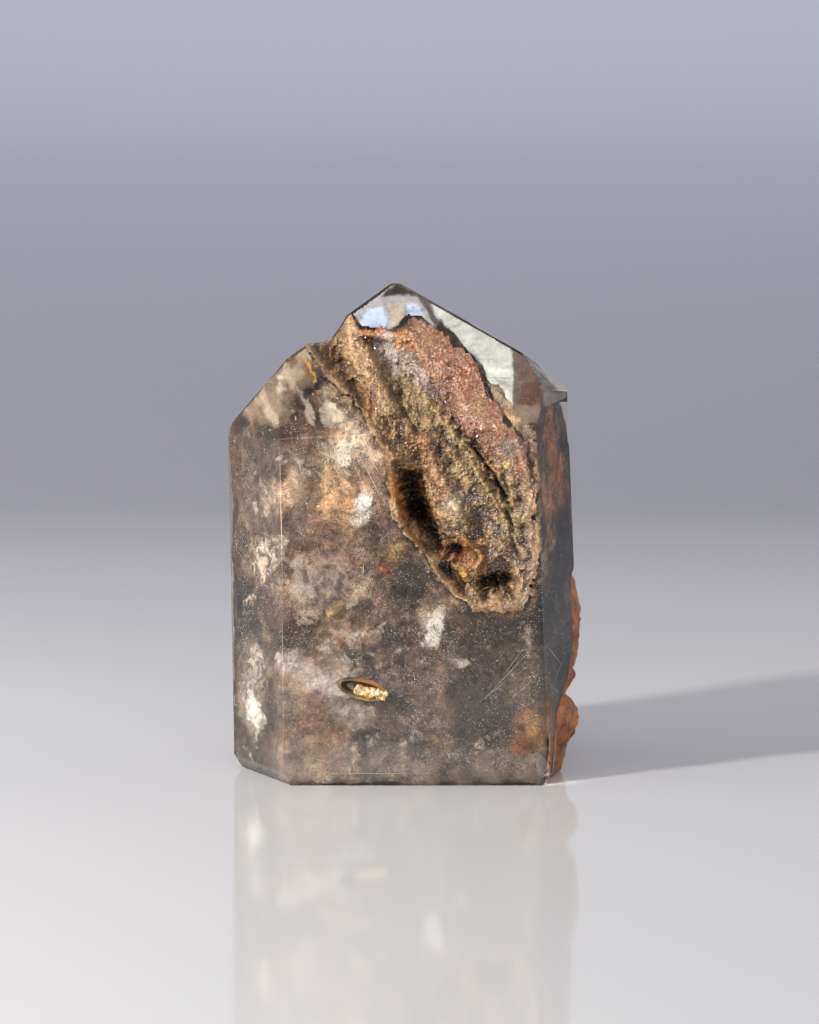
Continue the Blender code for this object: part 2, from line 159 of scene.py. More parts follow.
def dugDepth(inside, wall, relief):  # relief * (1 - exp(-inside / wall)), and the same slope outside
    dug = (1.0 - np.exp(-np.maximum(inside, 0.0) / wall)) * relief
    return np.where(inside > 0, dug, np.maximum(inside * relief / wall, -1.4))


def outward(azimuth, lean):  # the unit vector of a way in the plan and how far up it looks
    turn, rise = math.radians(azimuth), math.radians(lean)
    return np.array([math.sin(turn) * math.cos(rise), -math.cos(turn) * math.cos(rise), math.sin(rise)])


facePlanes = [(outward(a, lean), np.array(point)) for a, lean, point in stone["walls"] + stone["crown"]]


def insideStone(points, margin):  # further than the margin behind every polished plane
    return np.all([(point - points) @ normal > margin for normal, point in facePlanes], axis=0)


def surfaceFrom(axis, way, a, b, slope=0.05):  # along x or y, the nearest of the planes that look that way
    reach = np.full(len(a), 60.0)
    for normal, point in facePlanes:
        if way * normal[axis] > slope:
            across = normal @ point - normal[1 - axis] * a - normal[2] * b
            reach = np.minimum(reach, way * across / normal[axis])
    return way * reach


def surfaceFromFront(x, z):  # y of the polished front
    return np.minimum(surfaceFrom(1, -1, x, z), 25.0)


def surfaceFromBack(x, z):  # y of the polished back
    return surfaceFrom(1, 1, x, z)


def flatPlaces(x, z):  # places in the front view as points without depth
    return np.column_stack([x, np.zeros(len(x)), z])


def hollowFloor(x, z):  # the polished surface plus the depth dug below it, grooves and ridges included
    inside = rimDistance(x, z, hollow["rim"])
    (topX, topZ), (footX, footZ) = hollow["axis"]
    wall = np.interp(x - np.interp(z, (footZ, topZ), (footX, topX)), (0.0, 10.0), hollow["wall"])
    lumps = 0.75 * layeredNoise(flatPlaces(x, z), 4.6, 11)
    relief = hollow["depth"] + strokeRelief(x, z, hollow["strokes"]) + lumps
    return surfaceFromFront(x, z) + dugDepth(inside, wall, np.maximum(relief, 0.9))


def skinFloor(y, z):  # the polished surface less the depth that nature left off it
    inside = rimDistance(y, z, skin["rim"])
    places = np.column_stack([np.zeros(len(y)), y, z])
    height, taper = skin["taper"]
    lean = taper * np.clip(1.0 - z / height, 0.0, 1.4) ** 1.5
    relief = skin["depth"] + lean + strokeRelief(y, z, skin["strokes"]) + 0.6 * layeredNoise(places, 5.0, 29)
    return surfaceFrom(0, 1, y, z, 0.3) - dugDepth(inside, skin["wall"], np.maximum(relief, 0.3))


# Meshes from arrays


def addPiece(name, points, faces, material, smooth=True):  # points in mm; faces in blocks
    mesh = bpy.data.meshes.new(name)
    faces = [np.asarray(block) for block in faces]
    starts, corners, used = [], [], 0
    for block in faces:
        starts.append(used + np.arange(len(block)) * block.shape[1])
        corners.append(block.ravel())
        used += block.size
    starts, corners = np.concatenate(starts), np.concatenate(corners)
    mesh.vertices.add(len(points))
    mesh.vertices.foreach_set("co", np.asarray(points * mm, np.float32).ravel())
    mesh.loops.add(len(corners))
    mesh.loops.foreach_set("vertex_index", corners.astype(np.int32))
    mesh.polygons.add(len(starts))
    mesh.polygons.foreach_set("loop_start", starts.astype(np.int32))
    mesh.polygons.foreach_set("use_smooth", np.full(len(starts), smooth))
    mesh.update(calc_edges=True)
    mesh.validate()
    mesh.materials.append(material)
    piece = bpy.data.objects.new(name, mesh)
    bpy.context.scene.collection.objects.link(piece)
    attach(piece, "root")
    return piece


def gridOf(box, cell):  # the places of a grid over a rectangle, and its shape in points
    lowA, highA, lowB, highB = box
    a = np.linspace(lowA, highA, round((highA - lowA) / cell) + 1)
    b = np.linspace(lowB, highB, round((highB - lowB) / cell) + 1)
    gridA, gridB = np.meshgrid(a, b)
    return gridA.ravel(), gridB.ravel(), gridA.shape


def shellOf(front, back, keep, shape):  # two sheets over the kept points of a grid, joined round their edge
    kept = keep.reshape(shape)
    cells = kept[:-1, :-1] & kept[:-1, 1:] & kept[1:, 1:] & kept[1:, :-1]
    index = np.arange(shape[0] * shape[1]).reshape(shape)
    corners = index[:-1, :-1], index[:-1, 1:], index[1:, 1:], index[1:, :-1]
    quads = np.column_stack([corner[cells] for corner in corners])
    sides = np.concatenate([quads[:, [n, (n + 1) % 4]] for n in range(4)])
    key = sides.min(axis=1) * len(front) + sides.max(axis=1)
    _, first, count = np.unique(key, return_index=True, return_counts=True)
    rim = sides[first[count == 1]]
    walls = np.column_stack([rim[:, 1], rim[:, 0], rim[:, 0] + len(front), rim[:, 1] + len(front)])
    faces = np.concatenate([quads, quads[:, ::-1] + len(front), walls])
    used, compact = np.unique(faces, return_inverse=True)
    return np.concatenate([front, back])[used], compact.reshape(faces.shape), used % len(front)


octahedron = np.array([[1, 0, 0], [-1, 0, 0], [0, 1, 0], [0, -1, 0], [0, 0, 1], [0, 0, -1]], float)
octahedronFaces = np.array(
    [[0, 2, 4], [2, 1, 4], [1, 3, 4], [3, 0, 4], [2, 0, 5], [1, 2, 5], [3, 1, 5], [0, 3, 5]]
)


def stampMany(centres, turns, sizes):  # an octahedron copied to many places at once
    points = np.einsum("nij,nvj->nvi", turns, octahedron[None] * sizes[:, None, :]) + centres[:, None, :]
    offset = np.arange(len(centres))[:, None, None] * len(octahedron)
    return points.reshape(-1, 3), (octahedronFaces[None] + offset).reshape(-1, 3)


def randomTurns(rng, count):  # rotation matrices from random unit quaternions
    q = rng.normal(size=(count, 4))
    w, x, y, z = (q / np.linalg.norm(q, axis=1, keepdims=True)).T
    rows = [
        [1 - 2 * (y * y + z * z), 2 * (x * y - w * z), 2 * (x * z + w * y)],
        [2 * (x * y + w * z), 1 - 2 * (x * x + z * z), 2 * (y * z - w * x)],
        [2 * (x * z - w * y), 2 * (y * z + w * x), 1 - 2 * (x * x + y * y)],
    ]
    return np.moveaxis(np.array(rows), 2, 0)


def addGrains(name, rng, centres, sizes, material):  # each turned at random
    points, faces = stampMany(centres, randomTurns(rng, len(centres)), sizes)
    addPiece(name, points, [faces], material, smooth=False)
    print(name, len(centres))


# Colours worked out point by point


def screen(red, green, blue):  # a colour as a screen shows it, from 0 to 255, turned to linear light
    share = np.array([red, green, blue]) / 255.0
    return np.where(share <= 0.04045, share / 12.92, ((share + 0.055) / 1.055) ** 2.4)


def toward(colours, share, tone):  # colours + share * (tone - colours)
    return colours + share[:, None] * (tone - colours)


def underGlass(colours):  # made lighter, because a thing inside the stone looks darker than it is
    return np.clip(1.08 * colours / (1.0 + 0.25 * colours), 0.0, 0.96)


def smoothStep(low, high, values):  # 3t^2 - 2t^3 of the share between low and high
    share = np.clip((values - low) / (high - low), 0.0, 1.0)
    return share * share * (3.0 - 2.0 * share)


def tornPlaces(points, amount, size, seed):  # each place shifted by three layered noises, so that spots tear
    shift = [layeredNoise(points, size, seed + 10 * n, 4) for n in range(3)]
    return points + amount * np.column_stack(shift)


def turned(places, turn):  # how far along and across a way in the front view, turn in degrees from x up to z
    angle = math.radians(turn)
    along = places[:, 0] * math.cos(angle) + places[:, 2] * math.sin(angle)
    return along, places[:, 2] * math.cos(angle) - places[:, 0] * math.sin(angle)


def spotShare(places, x, z, halfX, halfZ, turn, y=0.0, halfY=9.0, edge=0.4):  # 1 in an ellipsoid, 0 out
    offset = places - np.array([x, y, z])
    along, across = turned(offset, turn)
    away = np.sqrt((along / halfX) ** 2 + (offset[:, 1] / halfY) ** 2 + (across / halfZ) ** 2)
    return 1.0 - smoothStep(1.0 - edge, 1.0 + edge, away)


def paintSpots(colours, places, spots, edge=0.4, usual=(0.0, 9.0)):  # usual: middle and half size in depth
    for *form, tone, strength in spots:
        share = strength * spotShare(places, *form[:5], *(form[5:] or usual), edge)
        colours = toward(colours, share, screen(*tone))
    return colours


def gradient(values, stops):  # colours read off a list of (value, screen colour), blended between
    at = [stop[0] for stop in stops]
    tones = np.array([screen(*stop[1]) for stop in stops])
    return np.column_stack([np.interp(values, at, tones[:, n]) for n in range(3)])


def giveColours(piece, name, colours):
    layer = piece.data.color_attributes.new(name, "FLOAT_COLOR", "POINT")
    values = np.column_stack([colours, np.ones(len(colours))])
    layer.data.foreach_set("color", values.ravel().astype(np.float32))


def giveValues(piece, name, values):
    piece.data.attributes.new(name, "FLOAT", "POINT").data.foreach_set("value", values.astype(np.float32))


# Shader maths


class Wire:  # one output of a node; sums and products of wires and numbers add Math nodes
    def __init__(self, paint, socket):
        self.paint, self.socket = paint, socket

    def maths(self, operation, first, second):
        return self.paint.add("ShaderNodeMath", {"operation": operation}, {0: first, 1: second})

    def __add__(self, other):
        return self.maths("ADD", self, other)

    def __radd__(self, other):
        return self.maths("ADD", other, self)

    def __sub__(self, other):
        return self.maths("SUBTRACT", self, other)

    def __rsub__(self, other):
        return self.maths("SUBTRACT", other, self)

    def __mul__(self, other):
        return self.maths("MULTIPLY", self, other)

    def __rmul__(self, other):
        return self.maths("MULTIPLY", other, self)

    def __truediv__(self, other):
        return self.maths("DIVIDE", self, other)

    def larger(self, other):
        return self.maths("MAXIMUM", self, other)


class Paint:  # a material's node tree
    def __init__(self, name):
        self.material = bpy.data.materials.new(name)
        self.material.use_nodes = True
        self.tree = self.material.node_tree
        self.surface = self.tree.nodes["Principled BSDF"]
        self.output = self.tree.nodes["Material Output"]
        place = self.add("ShaderNodeTexCoord", {}, {}, "Object")
        self.place = self.add("ShaderNodeVectorMath", {"operation": "SCALE"}, {0: place, "Scale": 1000.0})

    def add(self, kind, settings, sockets, output=0):  # any node: its settings first, then its sockets
        made = self.tree.nodes.new(kind)
        for key, value in settings.items():
            if key == "stops":
                ramp = made.color_ramp
                while len(ramp.elements) < len(value):
                    ramp.elements.new(1.0)
                for element, (position, colour) in zip(ramp.elements, value):
                    element.position = position
                    element.color = (*colour, 1.0)
            else:
                setattr(made, key, value)
        for key, value in sockets.items():
            if isinstance(value, Wire):
                self.tree.links.new(value.socket, made.inputs[key])
            else:
                made.inputs[key].default_value = value
        return Wire(self, made.outputs[output])

    def attribute(self, name, output="Fac"):
        return self.add("ShaderNodeAttribute", {"attribute_name": name}, {}, output)

    def noise(self, size, detail=3.0, roughness=0.55, warp=0.0):  # size in mm
        sockets = {"Vector": self.place, "Scale": 1.0 / size, "Detail": detail, "Roughness": roughness}
        return self.add("ShaderNodeTexNoise", {}, {**sockets, "Distortion": warp}, "Fac")

    def ease(self, value, low, high):  # 0 below low, 1 above high, smooth between
        settings = {"interpolation_type": "SMOOTHSTEP"}
        return self.add("ShaderNodeMapRange", settings, {"Value": value, "From Min": low, "From Max": high})

    def mix(self, share, first, second, blend="MIX"):  # colours, as wires or as (red, green, blue)
        sockets = {0: share, 6: first, 7: second}
        sockets = {key: (*v, 1.0) if isinstance(v, tuple) else v for key, v in sockets.items()}
        settings = {"data_type": "RGBA", "blend_type": blend, "clamp_factor": True}
        return self.add("ShaderNodeMix", settings, sockets, 2)

    def ramp(self, value, stops):
        return self.add("ShaderNodeValToRGB", {"stops": stops}, {"Fac": value}, "Color")

    def bump(self, height, distance, strength=1.0):  # distance in mm
        sockets = {"Height": height, "Distance": distance * mm, "Strength": strength}
        return self.add("ShaderNodeBump", {}, sockets, "Normal")

    def grit(self, grain, low, high, dark, light):  # greys from a grain, to lay over a colour
        return self.ramp(grain, [(low, dark), (0.5, (0.5, 0.5, 0.5)), (high, light)])

    def finish(self, **sockets):  # the shader's own sockets, spaces written as underscores
        for key, value in sockets.items():
            socket = self.surface.inputs[key.replace("_", " ")]
            if isinstance(value, Wire):
                self.tree.links.new(value.socket, socket)
            elif isinstance(value, tuple) and len(value) == 3 and socket.type == "RGBA":
                socket.default_value = (*value, 1.0)
            else:
                socket.default_value = value
        return self.material


# Camera, lights and stage

view = {
    "elevation": 9.0,
    "lens": 180.0,
    "sensor": 36.0,
    "pixels": 1024,
    "mmPerPixel": 0.1605,  # on the front wall
    "target": (1.1, 0.0, 42.3),
}
lights = {  # place in mm, size in mm, watts, colour
    "key": ((-460, -300, 330), 46, 4.4, (1.0, 0.96, 0.90)),
    "leftPanel": ((-520, -110, 220), 420, 1.5, (1.0, 0.97, 0.94)),
    "frontPanel": ((120, -620, 340), 520, 1.4, (0.96, 0.97, 1.0)),
    "rightPanel": ((480, 60, 150), 300, 0.4, (1.0, 0.93, 0.86)),
}
room = {"colour": (0.95, 0.94, 0.95), "strength": 0.41}
stage = {
    "tones": [  # how far behind the stone, as a share of the reach, and the colour there
        (0.0, (0.56, 0.56, 0.57)), (0.16, (0.36, 0.365, 0.42)),
        (0.45, (0.58, 0.59, 0.69)), (0.9, (0.86, 0.88, 1.0)),
    ],
    "reach": (60.0, 1400.0),
    "bendStart": 1100.0,
    "bendRadius": 300.0,
}


def lookAlong(obj, place, target):
    obj.location = place
    obj.rotation_euler = (Vector(target) - Vector(place)).to_track_quat("-Z", "Y").to_euler()
    bpy.context.scene.collection.objects.link(obj)


def makeCamera():
    data = bpy.data.cameras.new("camera")
    data.lens = view["lens"]
    data.sensor_width = view["sensor"]
    data.clip_end = 10.0
    distance = view["mmPerPixel"] * view["pixels"] * view["lens"] / view["sensor"] + stone["halfDepth"]
    rise = math.radians(view["elevation"])
    target = np.array(view["target"])
    place = target + distance * np.array([0.0, -math.cos(rise), math.sin(rise)])
    camera = bpy.data.objects.new("camera", data)
    lookAlong(camera, place * mm, target * mm)
    bpy.context.scene.camera = camera


def makeLights():
    for name, (place, size, watts, colour) in lights.items():
        data = bpy.data.lights.new(name, "AREA")
        data.shape = "SQUARE"
        data.size = size * mm
        data.energy = watts
        data.color = colour
        lookAlong(bpy.data.objects.new(name, data), np.array(place) * mm, (0.0, 0.0, 0.04))
    world = bpy.data.worlds.new("room")
    world.use_nodes = True
    background = world.node_tree.nodes["Background"]
    background.inputs["Color"].default_value = (*room["colour"], 1.0)
    background.inputs["Strength"].default_value = room["strength"]
    bpy.context.scene.world = world


def stageMaterial():
    paint = Paint("stage")
    away = paint.add("ShaderNodeSeparateXYZ", {}, {"Vector": paint.place}, "Y")
    near, far = stage["reach"]
    return paint.finish(
        Base_Color=paint.ramp((away - near) / (far - near), stage["tones"]),
        Roughness=0.07 + 0.6 * paint.ease(away, near, 400.0),
        Specular_IOR_Level=0.35,
    )


def makeStage():  # a profile (floor, quarter circle, wall) carried across in a straight line
    bend = np.linspace(0, math.pi / 2, 24)
    radius, start = stage["bendRadius"], stage["bendStart"]
    y = np.concatenate([[-1600.0], start + radius * np.sin(bend), [start + radius]])
    z = np.concatenate([[0.0], radius * (1 - np.cos(bend)), [1500.0]]) - 0.02
    x = np.array([-1600.0, 1600.0])
    points = np.column_stack([np.repeat(x, len(y)), np.tile(y, 2), np.tile(z, 2)])
    n = np.arange(len(y) - 1)
    faces = np.column_stack([n + len(y), n + len(y) + 1, n + 1, n])
    mesh = bpy.data.meshes.new("floor")
    mesh.from_pydata((points * mm).tolist(), [], faces.tolist())
    mesh.shade_smooth()
    mesh.materials.append(stageMaterial())
    floor = bpy.data.objects.new("floor", mesh)
    bpy.context.scene.collection.objects.link(floor)


# The clear stone

quartz = {"absorb": (0.80, 0.75, 0.69), "density": 42.0, "ior": 1.544}


def quartzMaterial():
    paint = Paint("smokyQuartz")
    ripple = paint.noise(9.0, 2.0) + 0.12 * paint.noise(0.8, 2.0)
    sockets = {"Color": (*quartz["absorb"], 1.0), "Density": quartz["density"]}
    absorption = paint.add("ShaderNodeVolumeAbsorption", {}, sockets)
    paint.tree.links.new(absorption.socket, paint.output.inputs["Volume"])
    return paint.finish(
        Base_Color=(0.98, 0.97, 0.96),
        Roughness=0.02,
        IOR=quartz["ior"],
        Transmission_Weight=1.0,
        Normal=paint.bump(ripple, 0.05, 0.35),
    )


# The druzy crust that lines the hollow

druzy = {
    "cell": 0.16,
    "gap": 0.3,
    "thickness": (0.25, 0.7),
    "coarse": (2.4, 1.1, 3),  # spacing, height and seed of the points
    "coarseShare": 0.55,
    "sugar": [(1.0, 0.34, 8), (0.5, 0.26, 9)],
    "sink": 0.28,
    "tint": np.array([0.68, 0.605, 0.51]),
    "ridges": [  # start, end, half width, how far it rises, grooves negative
        (3.8, 69.5, -1.5, 73, 0.5, 0.5), (-8.5, 70, -5.6, 62.5, 0.8, 0.5),
        (-5.6, 62.5, -2.4, 56, 0.6, 0.5), (-3.6, 66.5, 2.2, 58, 0.35, -0.6), (-1, 69, 4, 62.4, 0.5, 0.5),
        (4, 62.4, 7.4, 59.8, 0.4, 0.5), (6, 60.5, 9.5, 55.6, 0.45, 0.6),
        (9.5, 55.6, 14.6, 47.4, 0.45, 0.7), (14.6, 47.4, 18.6, 39.4, 0.4, 0.6),
        (10.4, 57.6, 15.5, 50.6, 0.4, 0.5), (15.5, 50.6, 17.8, 46.2, 0.4, 0.6),
        (3, 53.8, 5.2, 44.8, 0.4, 0.5), (5.2, 44.8, 7.6, 40.8, 0.4, 0.4),
        (6.6, 41.6, 10.6, 40.4, 0.4, 0.6), (10.6, 40.4, 12.8, 37.6, 0.4, 0.7),
        (12.8, 37.6, 12.2, 35.6, 0.4, 0.6), (16.6, 45.4, 18.9, 36.6, 0.3, -0.5),
        (0.8, 57.2, 4.6, 54.6, 1.2, 0.6), (12.5, 53.5, 16.5, 47, 1.1, 2.3),
        (8.5, 59, 12.5, 53.5, 0.9, 1.9), (16.5, 47, 19.3, 39, 1, 1.3), (11.9, 55, 16.8, 47.4, 0.28, -1.1),
        (7.6, 55.5, 10.6, 49.5, 1.2, 0.8), (11.8, 31.8, 12, 31.2, 0.7, 0.9),
        (13.4, 31.2, 13.5, 30.8, 0.5, -0.8), (15.2, 31, 15.8, 30.7, 0.8, 0.8),
        (17.2, 31.8, 17.6, 31, 0.5, -0.9), (18.9, 32.4, 19.4, 33.2, 0.8, 0.9),
        (19.4, 35.2, 20.4, 35, 0.5, -0.9), (19, 37.6, 19.6, 39, 0.7, 0.8),
        (9, 33.4, 9.8, 32.6, 0.5, -0.7), (19.6, 42.2, 20.2, 42, 0.5, -0.8),
        (18.6, 47.4, 19.8, 47, 0.5, -0.7), (-2.6, 50.5, -0.8, 45, 0.5, 0.8),
        (-0.8, 45, 3.4, 40.6, 0.5, 0.8), (3.4, 40.6, 5.8, 37, 0.5, 0.7),
    ],
}


def pointField(x, z, spacing, height, seed):  # the highest of the six-sided points near each place
    column, row = np.floor(x / spacing).astype(np.int64), np.floor(z / spacing).astype(np.int64)
    highest = np.zeros(len(x))
    for di in (-1, 0, 1):
        for dj in (-1, 0, 1):
            i, j = column + di, row + dj
            middleX = (i + 0.15 + 0.7 * cornerValue(i, j, 0, seed)) * spacing
            middleZ = (j + 0.15 + 0.7 * cornerValue(i, j, 1, seed)) * spacing
            turn = cornerValue(i, j, 2, seed) * math.pi / 3
            size = height * (0.45 + 0.55 * cornerValue(i, j, 3, seed))
            widest = np.zeros(len(x))
            for side in range(3):
                angle = turn + side * math.pi / 3
                off = (x - middleX) * np.cos(angle) + (z - middleZ) * np.sin(angle)
                widest = np.maximum(widest, np.abs(off))
            highest = np.maximum(highest, size - 0.8 * widest)
    return highest


def craggy(points, size, seed, layers=3):  # layers of 1 - 2 * |noise|: sharp crests between round hollows
    total = np.zeros(len(points))
    for n in range(layers):
        total += 0.5**n * (1.0 - 2.0 * np.abs(smoothNoise(points, size / 2**n, seed + n)))
    return total


def boxMean(values, reach):  # the mean over a square of 2 * reach + 1 cells, by running sums along each axis
    for axis in (0, 1):
        padded = np.pad(values, [(reach + 1, reach) if n == axis else (0, 0) for n in (0, 1)], mode="edge")
        total = np.cumsum(padded, axis=axis)
        width = 2 * reach + 1
        ahead = np.take(total, range(width, total.shape[axis]), axis)
        values = (ahead - np.take(total, range(total.shape[axis] - width), axis)) / width
    return values


def makeDruzy():  # the hollow's floor less a crust of coarse points, crags, ridges and sugar grains
    x, z, shape = gridOf(hollow["box"], druzy["cell"])
    polished, floor = surfaceFromFront(x, z), hollowFloor(x, z)
    depth = floor - polished
    places = flatPlaces(x, z)
    thickness = np.interp(depth, (0.5, 1.8), druzy["thickness"])
    coarse = druzy["coarseShare"] * pointField(x, z, *druzy["coarse"])
    slab = spotShare(places, 1.0, 66.2, 6.0, 2.6, -48)
    pink = spotShare(places, 11.0, 63.0, 12.5, 4.2, -56)
    grains = (1.0 - 0.7 * slab) * sum(pointField(x, z, *sugar) for sugar in druzy["sugar"])
    broad = craggy(tornPlaces(places, 0.5, 2.0, 81), 3.2, 75, 4)
    fine = craggy(tornPlaces(places, 0.6, 1.2, 85), 1.5, 87)
    crags = 0.42 * broad * (1.0 - 0.65 * np.maximum(slab, pink)) + 0.7 * fine * smoothStep(3.0, 6.5, depth)
    ridges = strokeRelief(*tornPlaces(places, 0.35, 1.8, 181)[:, [0, 2]].T, druzy["ridges"])
    ramp = np.interp(depth, (0.4, 2.2), (0.0, 1.0))
    y = floor - druzy["gap"] - thickness - ramp * (coarse + grains + crags + ridges)
    y = np.maximum(np.minimum(np.maximum(y, polished + 0.03), floor - 0.08), polished - 0.05)
    lowest = np.maximum(floor, polished)
    inStone = surfaceFromBack(x, z) - lowest > 0.6
    lap = 0.45 + 0.75 * layeredNoise(places, 1.7, 95)
    front, back = (np.column_stack([x, sheet, z]) for sheet in (y, lowest + druzy["sink"]))
    points, faces, kept = shellOf(front, back, (rimDistance(x, z, hollow["rim"]) > -lap) & inStone, shape)
    piece = addPiece("druzyCrust", points, [faces], druzyMaterial(), smooth=False)
    # how far each point stands out from its neighbours, used below for painted shade and highlights
    level = y.reshape(shape)
    fineCrest, broadCrest = ((boxMean(level, reach) - level).ravel() for reach in (3, 11))
    giveColours(piece, "tone", druzyColoursAndPaintedShade(places, depth, y - polished, fineCrest, broadCrest)[kept])
    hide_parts("druzy_crust")
    print("druzyCrust", len(faces), "quads")


druzySpots = [  # middle x and z, half sizes, turn in the front view, colour on screen, strength
    (-9, 70, 8.5, 3.6, -62, (172, 140, 108), 0.85),
    (-4.5, 60.5, 7, 2.2, -62, (172, 142, 104), 0.8),
    (-5.8, 62.6, 2.2, 1.3, -60, (136, 80, 34), 0.85),
    (-3.1, 57.4, 1.3, 0.6, -60, (158, 100, 68), 0.7),
    (-4.2, 73, 3, 1, -6, (176, 96, 34), 0.95),
    (-5.8, 67.6, 1, 0.6, -35, (70, 50, 26), 0.85),
    (-2, 70.2, 2.6, 2.6, -45, (206, 196, 198), 0.95),
    (1.2, 66, 5.2, 2.1, -48, (196, 184, 182), 0.97),
    (0.4, 71.3, 1.8, 1.9, 0, (206, 152, 106), 0.9),
    (6.2, 70, 5.8, 4.2, -50, (166, 118, 96), 0.97),
    (11, 63.8, 7.5, 4.6, -58, (162, 113, 92), 0.97),
    (15, 57.6, 5.6, 3.8, -55, (156, 108, 90), 0.96),
    (8.6, 66.2, 1.7, 0.5, 20, (160, 98, 58), 0.7),
    (8.9, 63, 2.4, 0.4, -88, (132, 72, 40), 0.8),
    (7.4, 67.8, 0.6, 0.6, 0, (96, 48, 18), 0.95),
    (13.4, 55.9, 0.8, 0.5, 0, (124, 66, 48), 0.7),
    (17.2, 55.2, 1.3, 1.9, -40, (150, 138, 136), 0.8),
    (3.2, 61.2, 6, 2.6, -42, (158, 136, 100), 0.9),
    (3.2, 63, 0.7, 0.5, -30, (204, 192, 124), 0.6),
    (4.9, 61.6, 0.8, 0.5, -30, (184, 168, 104), 0.5),
    (-0.5, 58.6, 2, 0.8, -50, (96, 70, 40), 0.65),
    (2.4, 55.9, 2.2, 1.8, 20, (158, 104, 50), 0.9),
    (3.4, 57, 1.4, 0.7, 25, (176, 122, 92), 0.7),
    (10, 54.2, 5, 1.5, -52, (182, 164, 128), 0.85),
    (15.4, 52.4, 3.2, 2, -40, (190, 150, 118), 0.8),
    (16.3, 52.6, 0.8, 0.5, 0, (250, 232, 166), 0.95),
    (19, 51.2, 0.8, 2.6, -8, (196, 128, 96), 0.8),
    (8.2, 46.6, 6, 3.9, -62, (150, 128, 102), 0.95),
    (8.8, 52, 3.6, 1.9, -58, (184, 162, 124), 0.85),
    (12.4, 44.6, 3.6, 1.6, -64, (92, 76, 66), 0.7),
    (10.8, 31.9, 1, 0.7, -30, (74, 60, 46), 0.8),
    (17.6, 31.2, 0.9, 0.7, 30, (70, 56, 44), 0.8),
    (20, 35.2, 0.8, 0.8, 0, (66, 54, 44), 0.8),
    (13.1, 30.4, 0.9, 0.5, 10, (214, 194, 156), 0.8),
    (5.3, 50.8, 4.4, 1, -80, (184, 138, 108), 0.85),
    (5.6, 48.2, 1.5, 0.5, -80, (170, 118, 94), 0.6),
    # painted highlight: a cream spot on the central lobe
    (8.6, 47, 1.3, 0.9, 30, (226, 214, 196), 0.9),
    (11.6, 45.4, 3, 1, -70, (104, 84, 70), 0.6),
    (15.2, 41.8, 1.7, 0.9, -60, (44, 34, 26), 0.85),
    (6, 44.6, 0.5, 0.5, 0, (214, 178, 70), 0.9),
    (18.8, 43, 7.2, 1.9, -78, (162, 142, 114), 0.85),
    (19.4, 38.6, 4, 1.6, -84, (150, 134, 118), 0.7),
    (15.6, 37.2, 2.6, 1.8, -40, (116, 102, 92), 0.85),
    (17.4, 44, 3.8, 0.7, -62, (150, 142, 88), 0.85),
    (17.6, 49, 3.2, 2.2, -70, (140, 118, 92), 0.6),
    (18.2, 40, 4.6, 2, -78, (132, 112, 92), 0.6),
    (14.2, 47.6, 3.4, 0.8, -58, (150, 136, 104), 0.6),
    (-1, 47, 5.4, 1.3, -70, (150, 88, 34), 0.95),
    (1.6, 42.4, 3.4, 1.2, -52, (158, 116, 56), 0.85),
    (9.4, 37.2, 3.6, 3, -30, (160, 104, 58), 0.95),
    (11.9, 38.4, 1.4, 1.9, 25, (150, 100, 44), 0.9),
    # painted highlight: a gold glint
    (9.7, 34.6, 1, 0.9, 60, (246, 186, 90), 0.95),
    (14, 30.9, 6, 1.4, -8, (158, 128, 102), 0.85),
    (19.6, 31.6, 1.7, 2.6, 10, (152, 130, 106), 0.8),
    (13.4, 33.6, 3.4, 1.7, -10, (104, 84, 38), 0.8),
    # painted shade: the narrow slot and a tiny hole made near black
    (12.2, 55.2, 5.6, 0.32, -53, (56, 42, 20), 0.9),
    (16.1, 48.9, 2.1, 0.6, -53, (48, 36, 16), 0.92),
    (7.7, 52.6, 0.5, 0.4, -60, (40, 32, 24), 0.9),
    (2.3, 46.8, 5.6, 2.3, -66, (122, 78, 38), 0.9),
    (-2.5, 49, 3.4, 0.55, -75, (206, 184, 142), 0.85),
    (-0.4, 44.3, 2.8, 0.55, -56, (206, 184, 142), 0.85),
    (2.6, 41.1, 2.2, 0.5, -36, (198, 176, 134), 0.8),
    (5, 38.5, 1.9, 0.5, -62, (198, 176, 134), 0.8),
    (8, 34.9, 3.4, 0.55, -44, (192, 168, 126), 0.75),
    # painted shade: the big cavity made near black
    (2.4, 46.2, 5, 1.3, -66, (46, 27, 14), 0.9),
    # the cavity's upper-left wall: its own orange-brown, painted brighter as if lit by light through the
    # stone
    (-0.4, 47.4, 3.8, 0.6, -74, (196, 118, 50), 0.9),
    (1.6, 43.2, 2.6, 0.6, -52, (172, 108, 50), 0.85),
    (2.6, 49.4, 1.3, 0.5, 10, (150, 92, 46), 0.7),
    # painted shade: the holes below the cavity made near black
    (4.9, 41.2, 3.2, 0.7, -62, (30, 18, 12), 0.9),
    (8.3, 38.6, 1.2, 0.9, 0, (36, 22, 14), 0.95),
    (7.2, 35.4, 1.9, 0.7, -42, (46, 28, 14), 0.92),
    (14.9, 33, 2.4, 1.3, -12, (34, 26, 14), 0.94),
    # painted highlight: a yellow glint in the lowest hole
    (15.2, 33.4, 0.7, 0.4, 40, (196, 168, 72), 0.8),
]
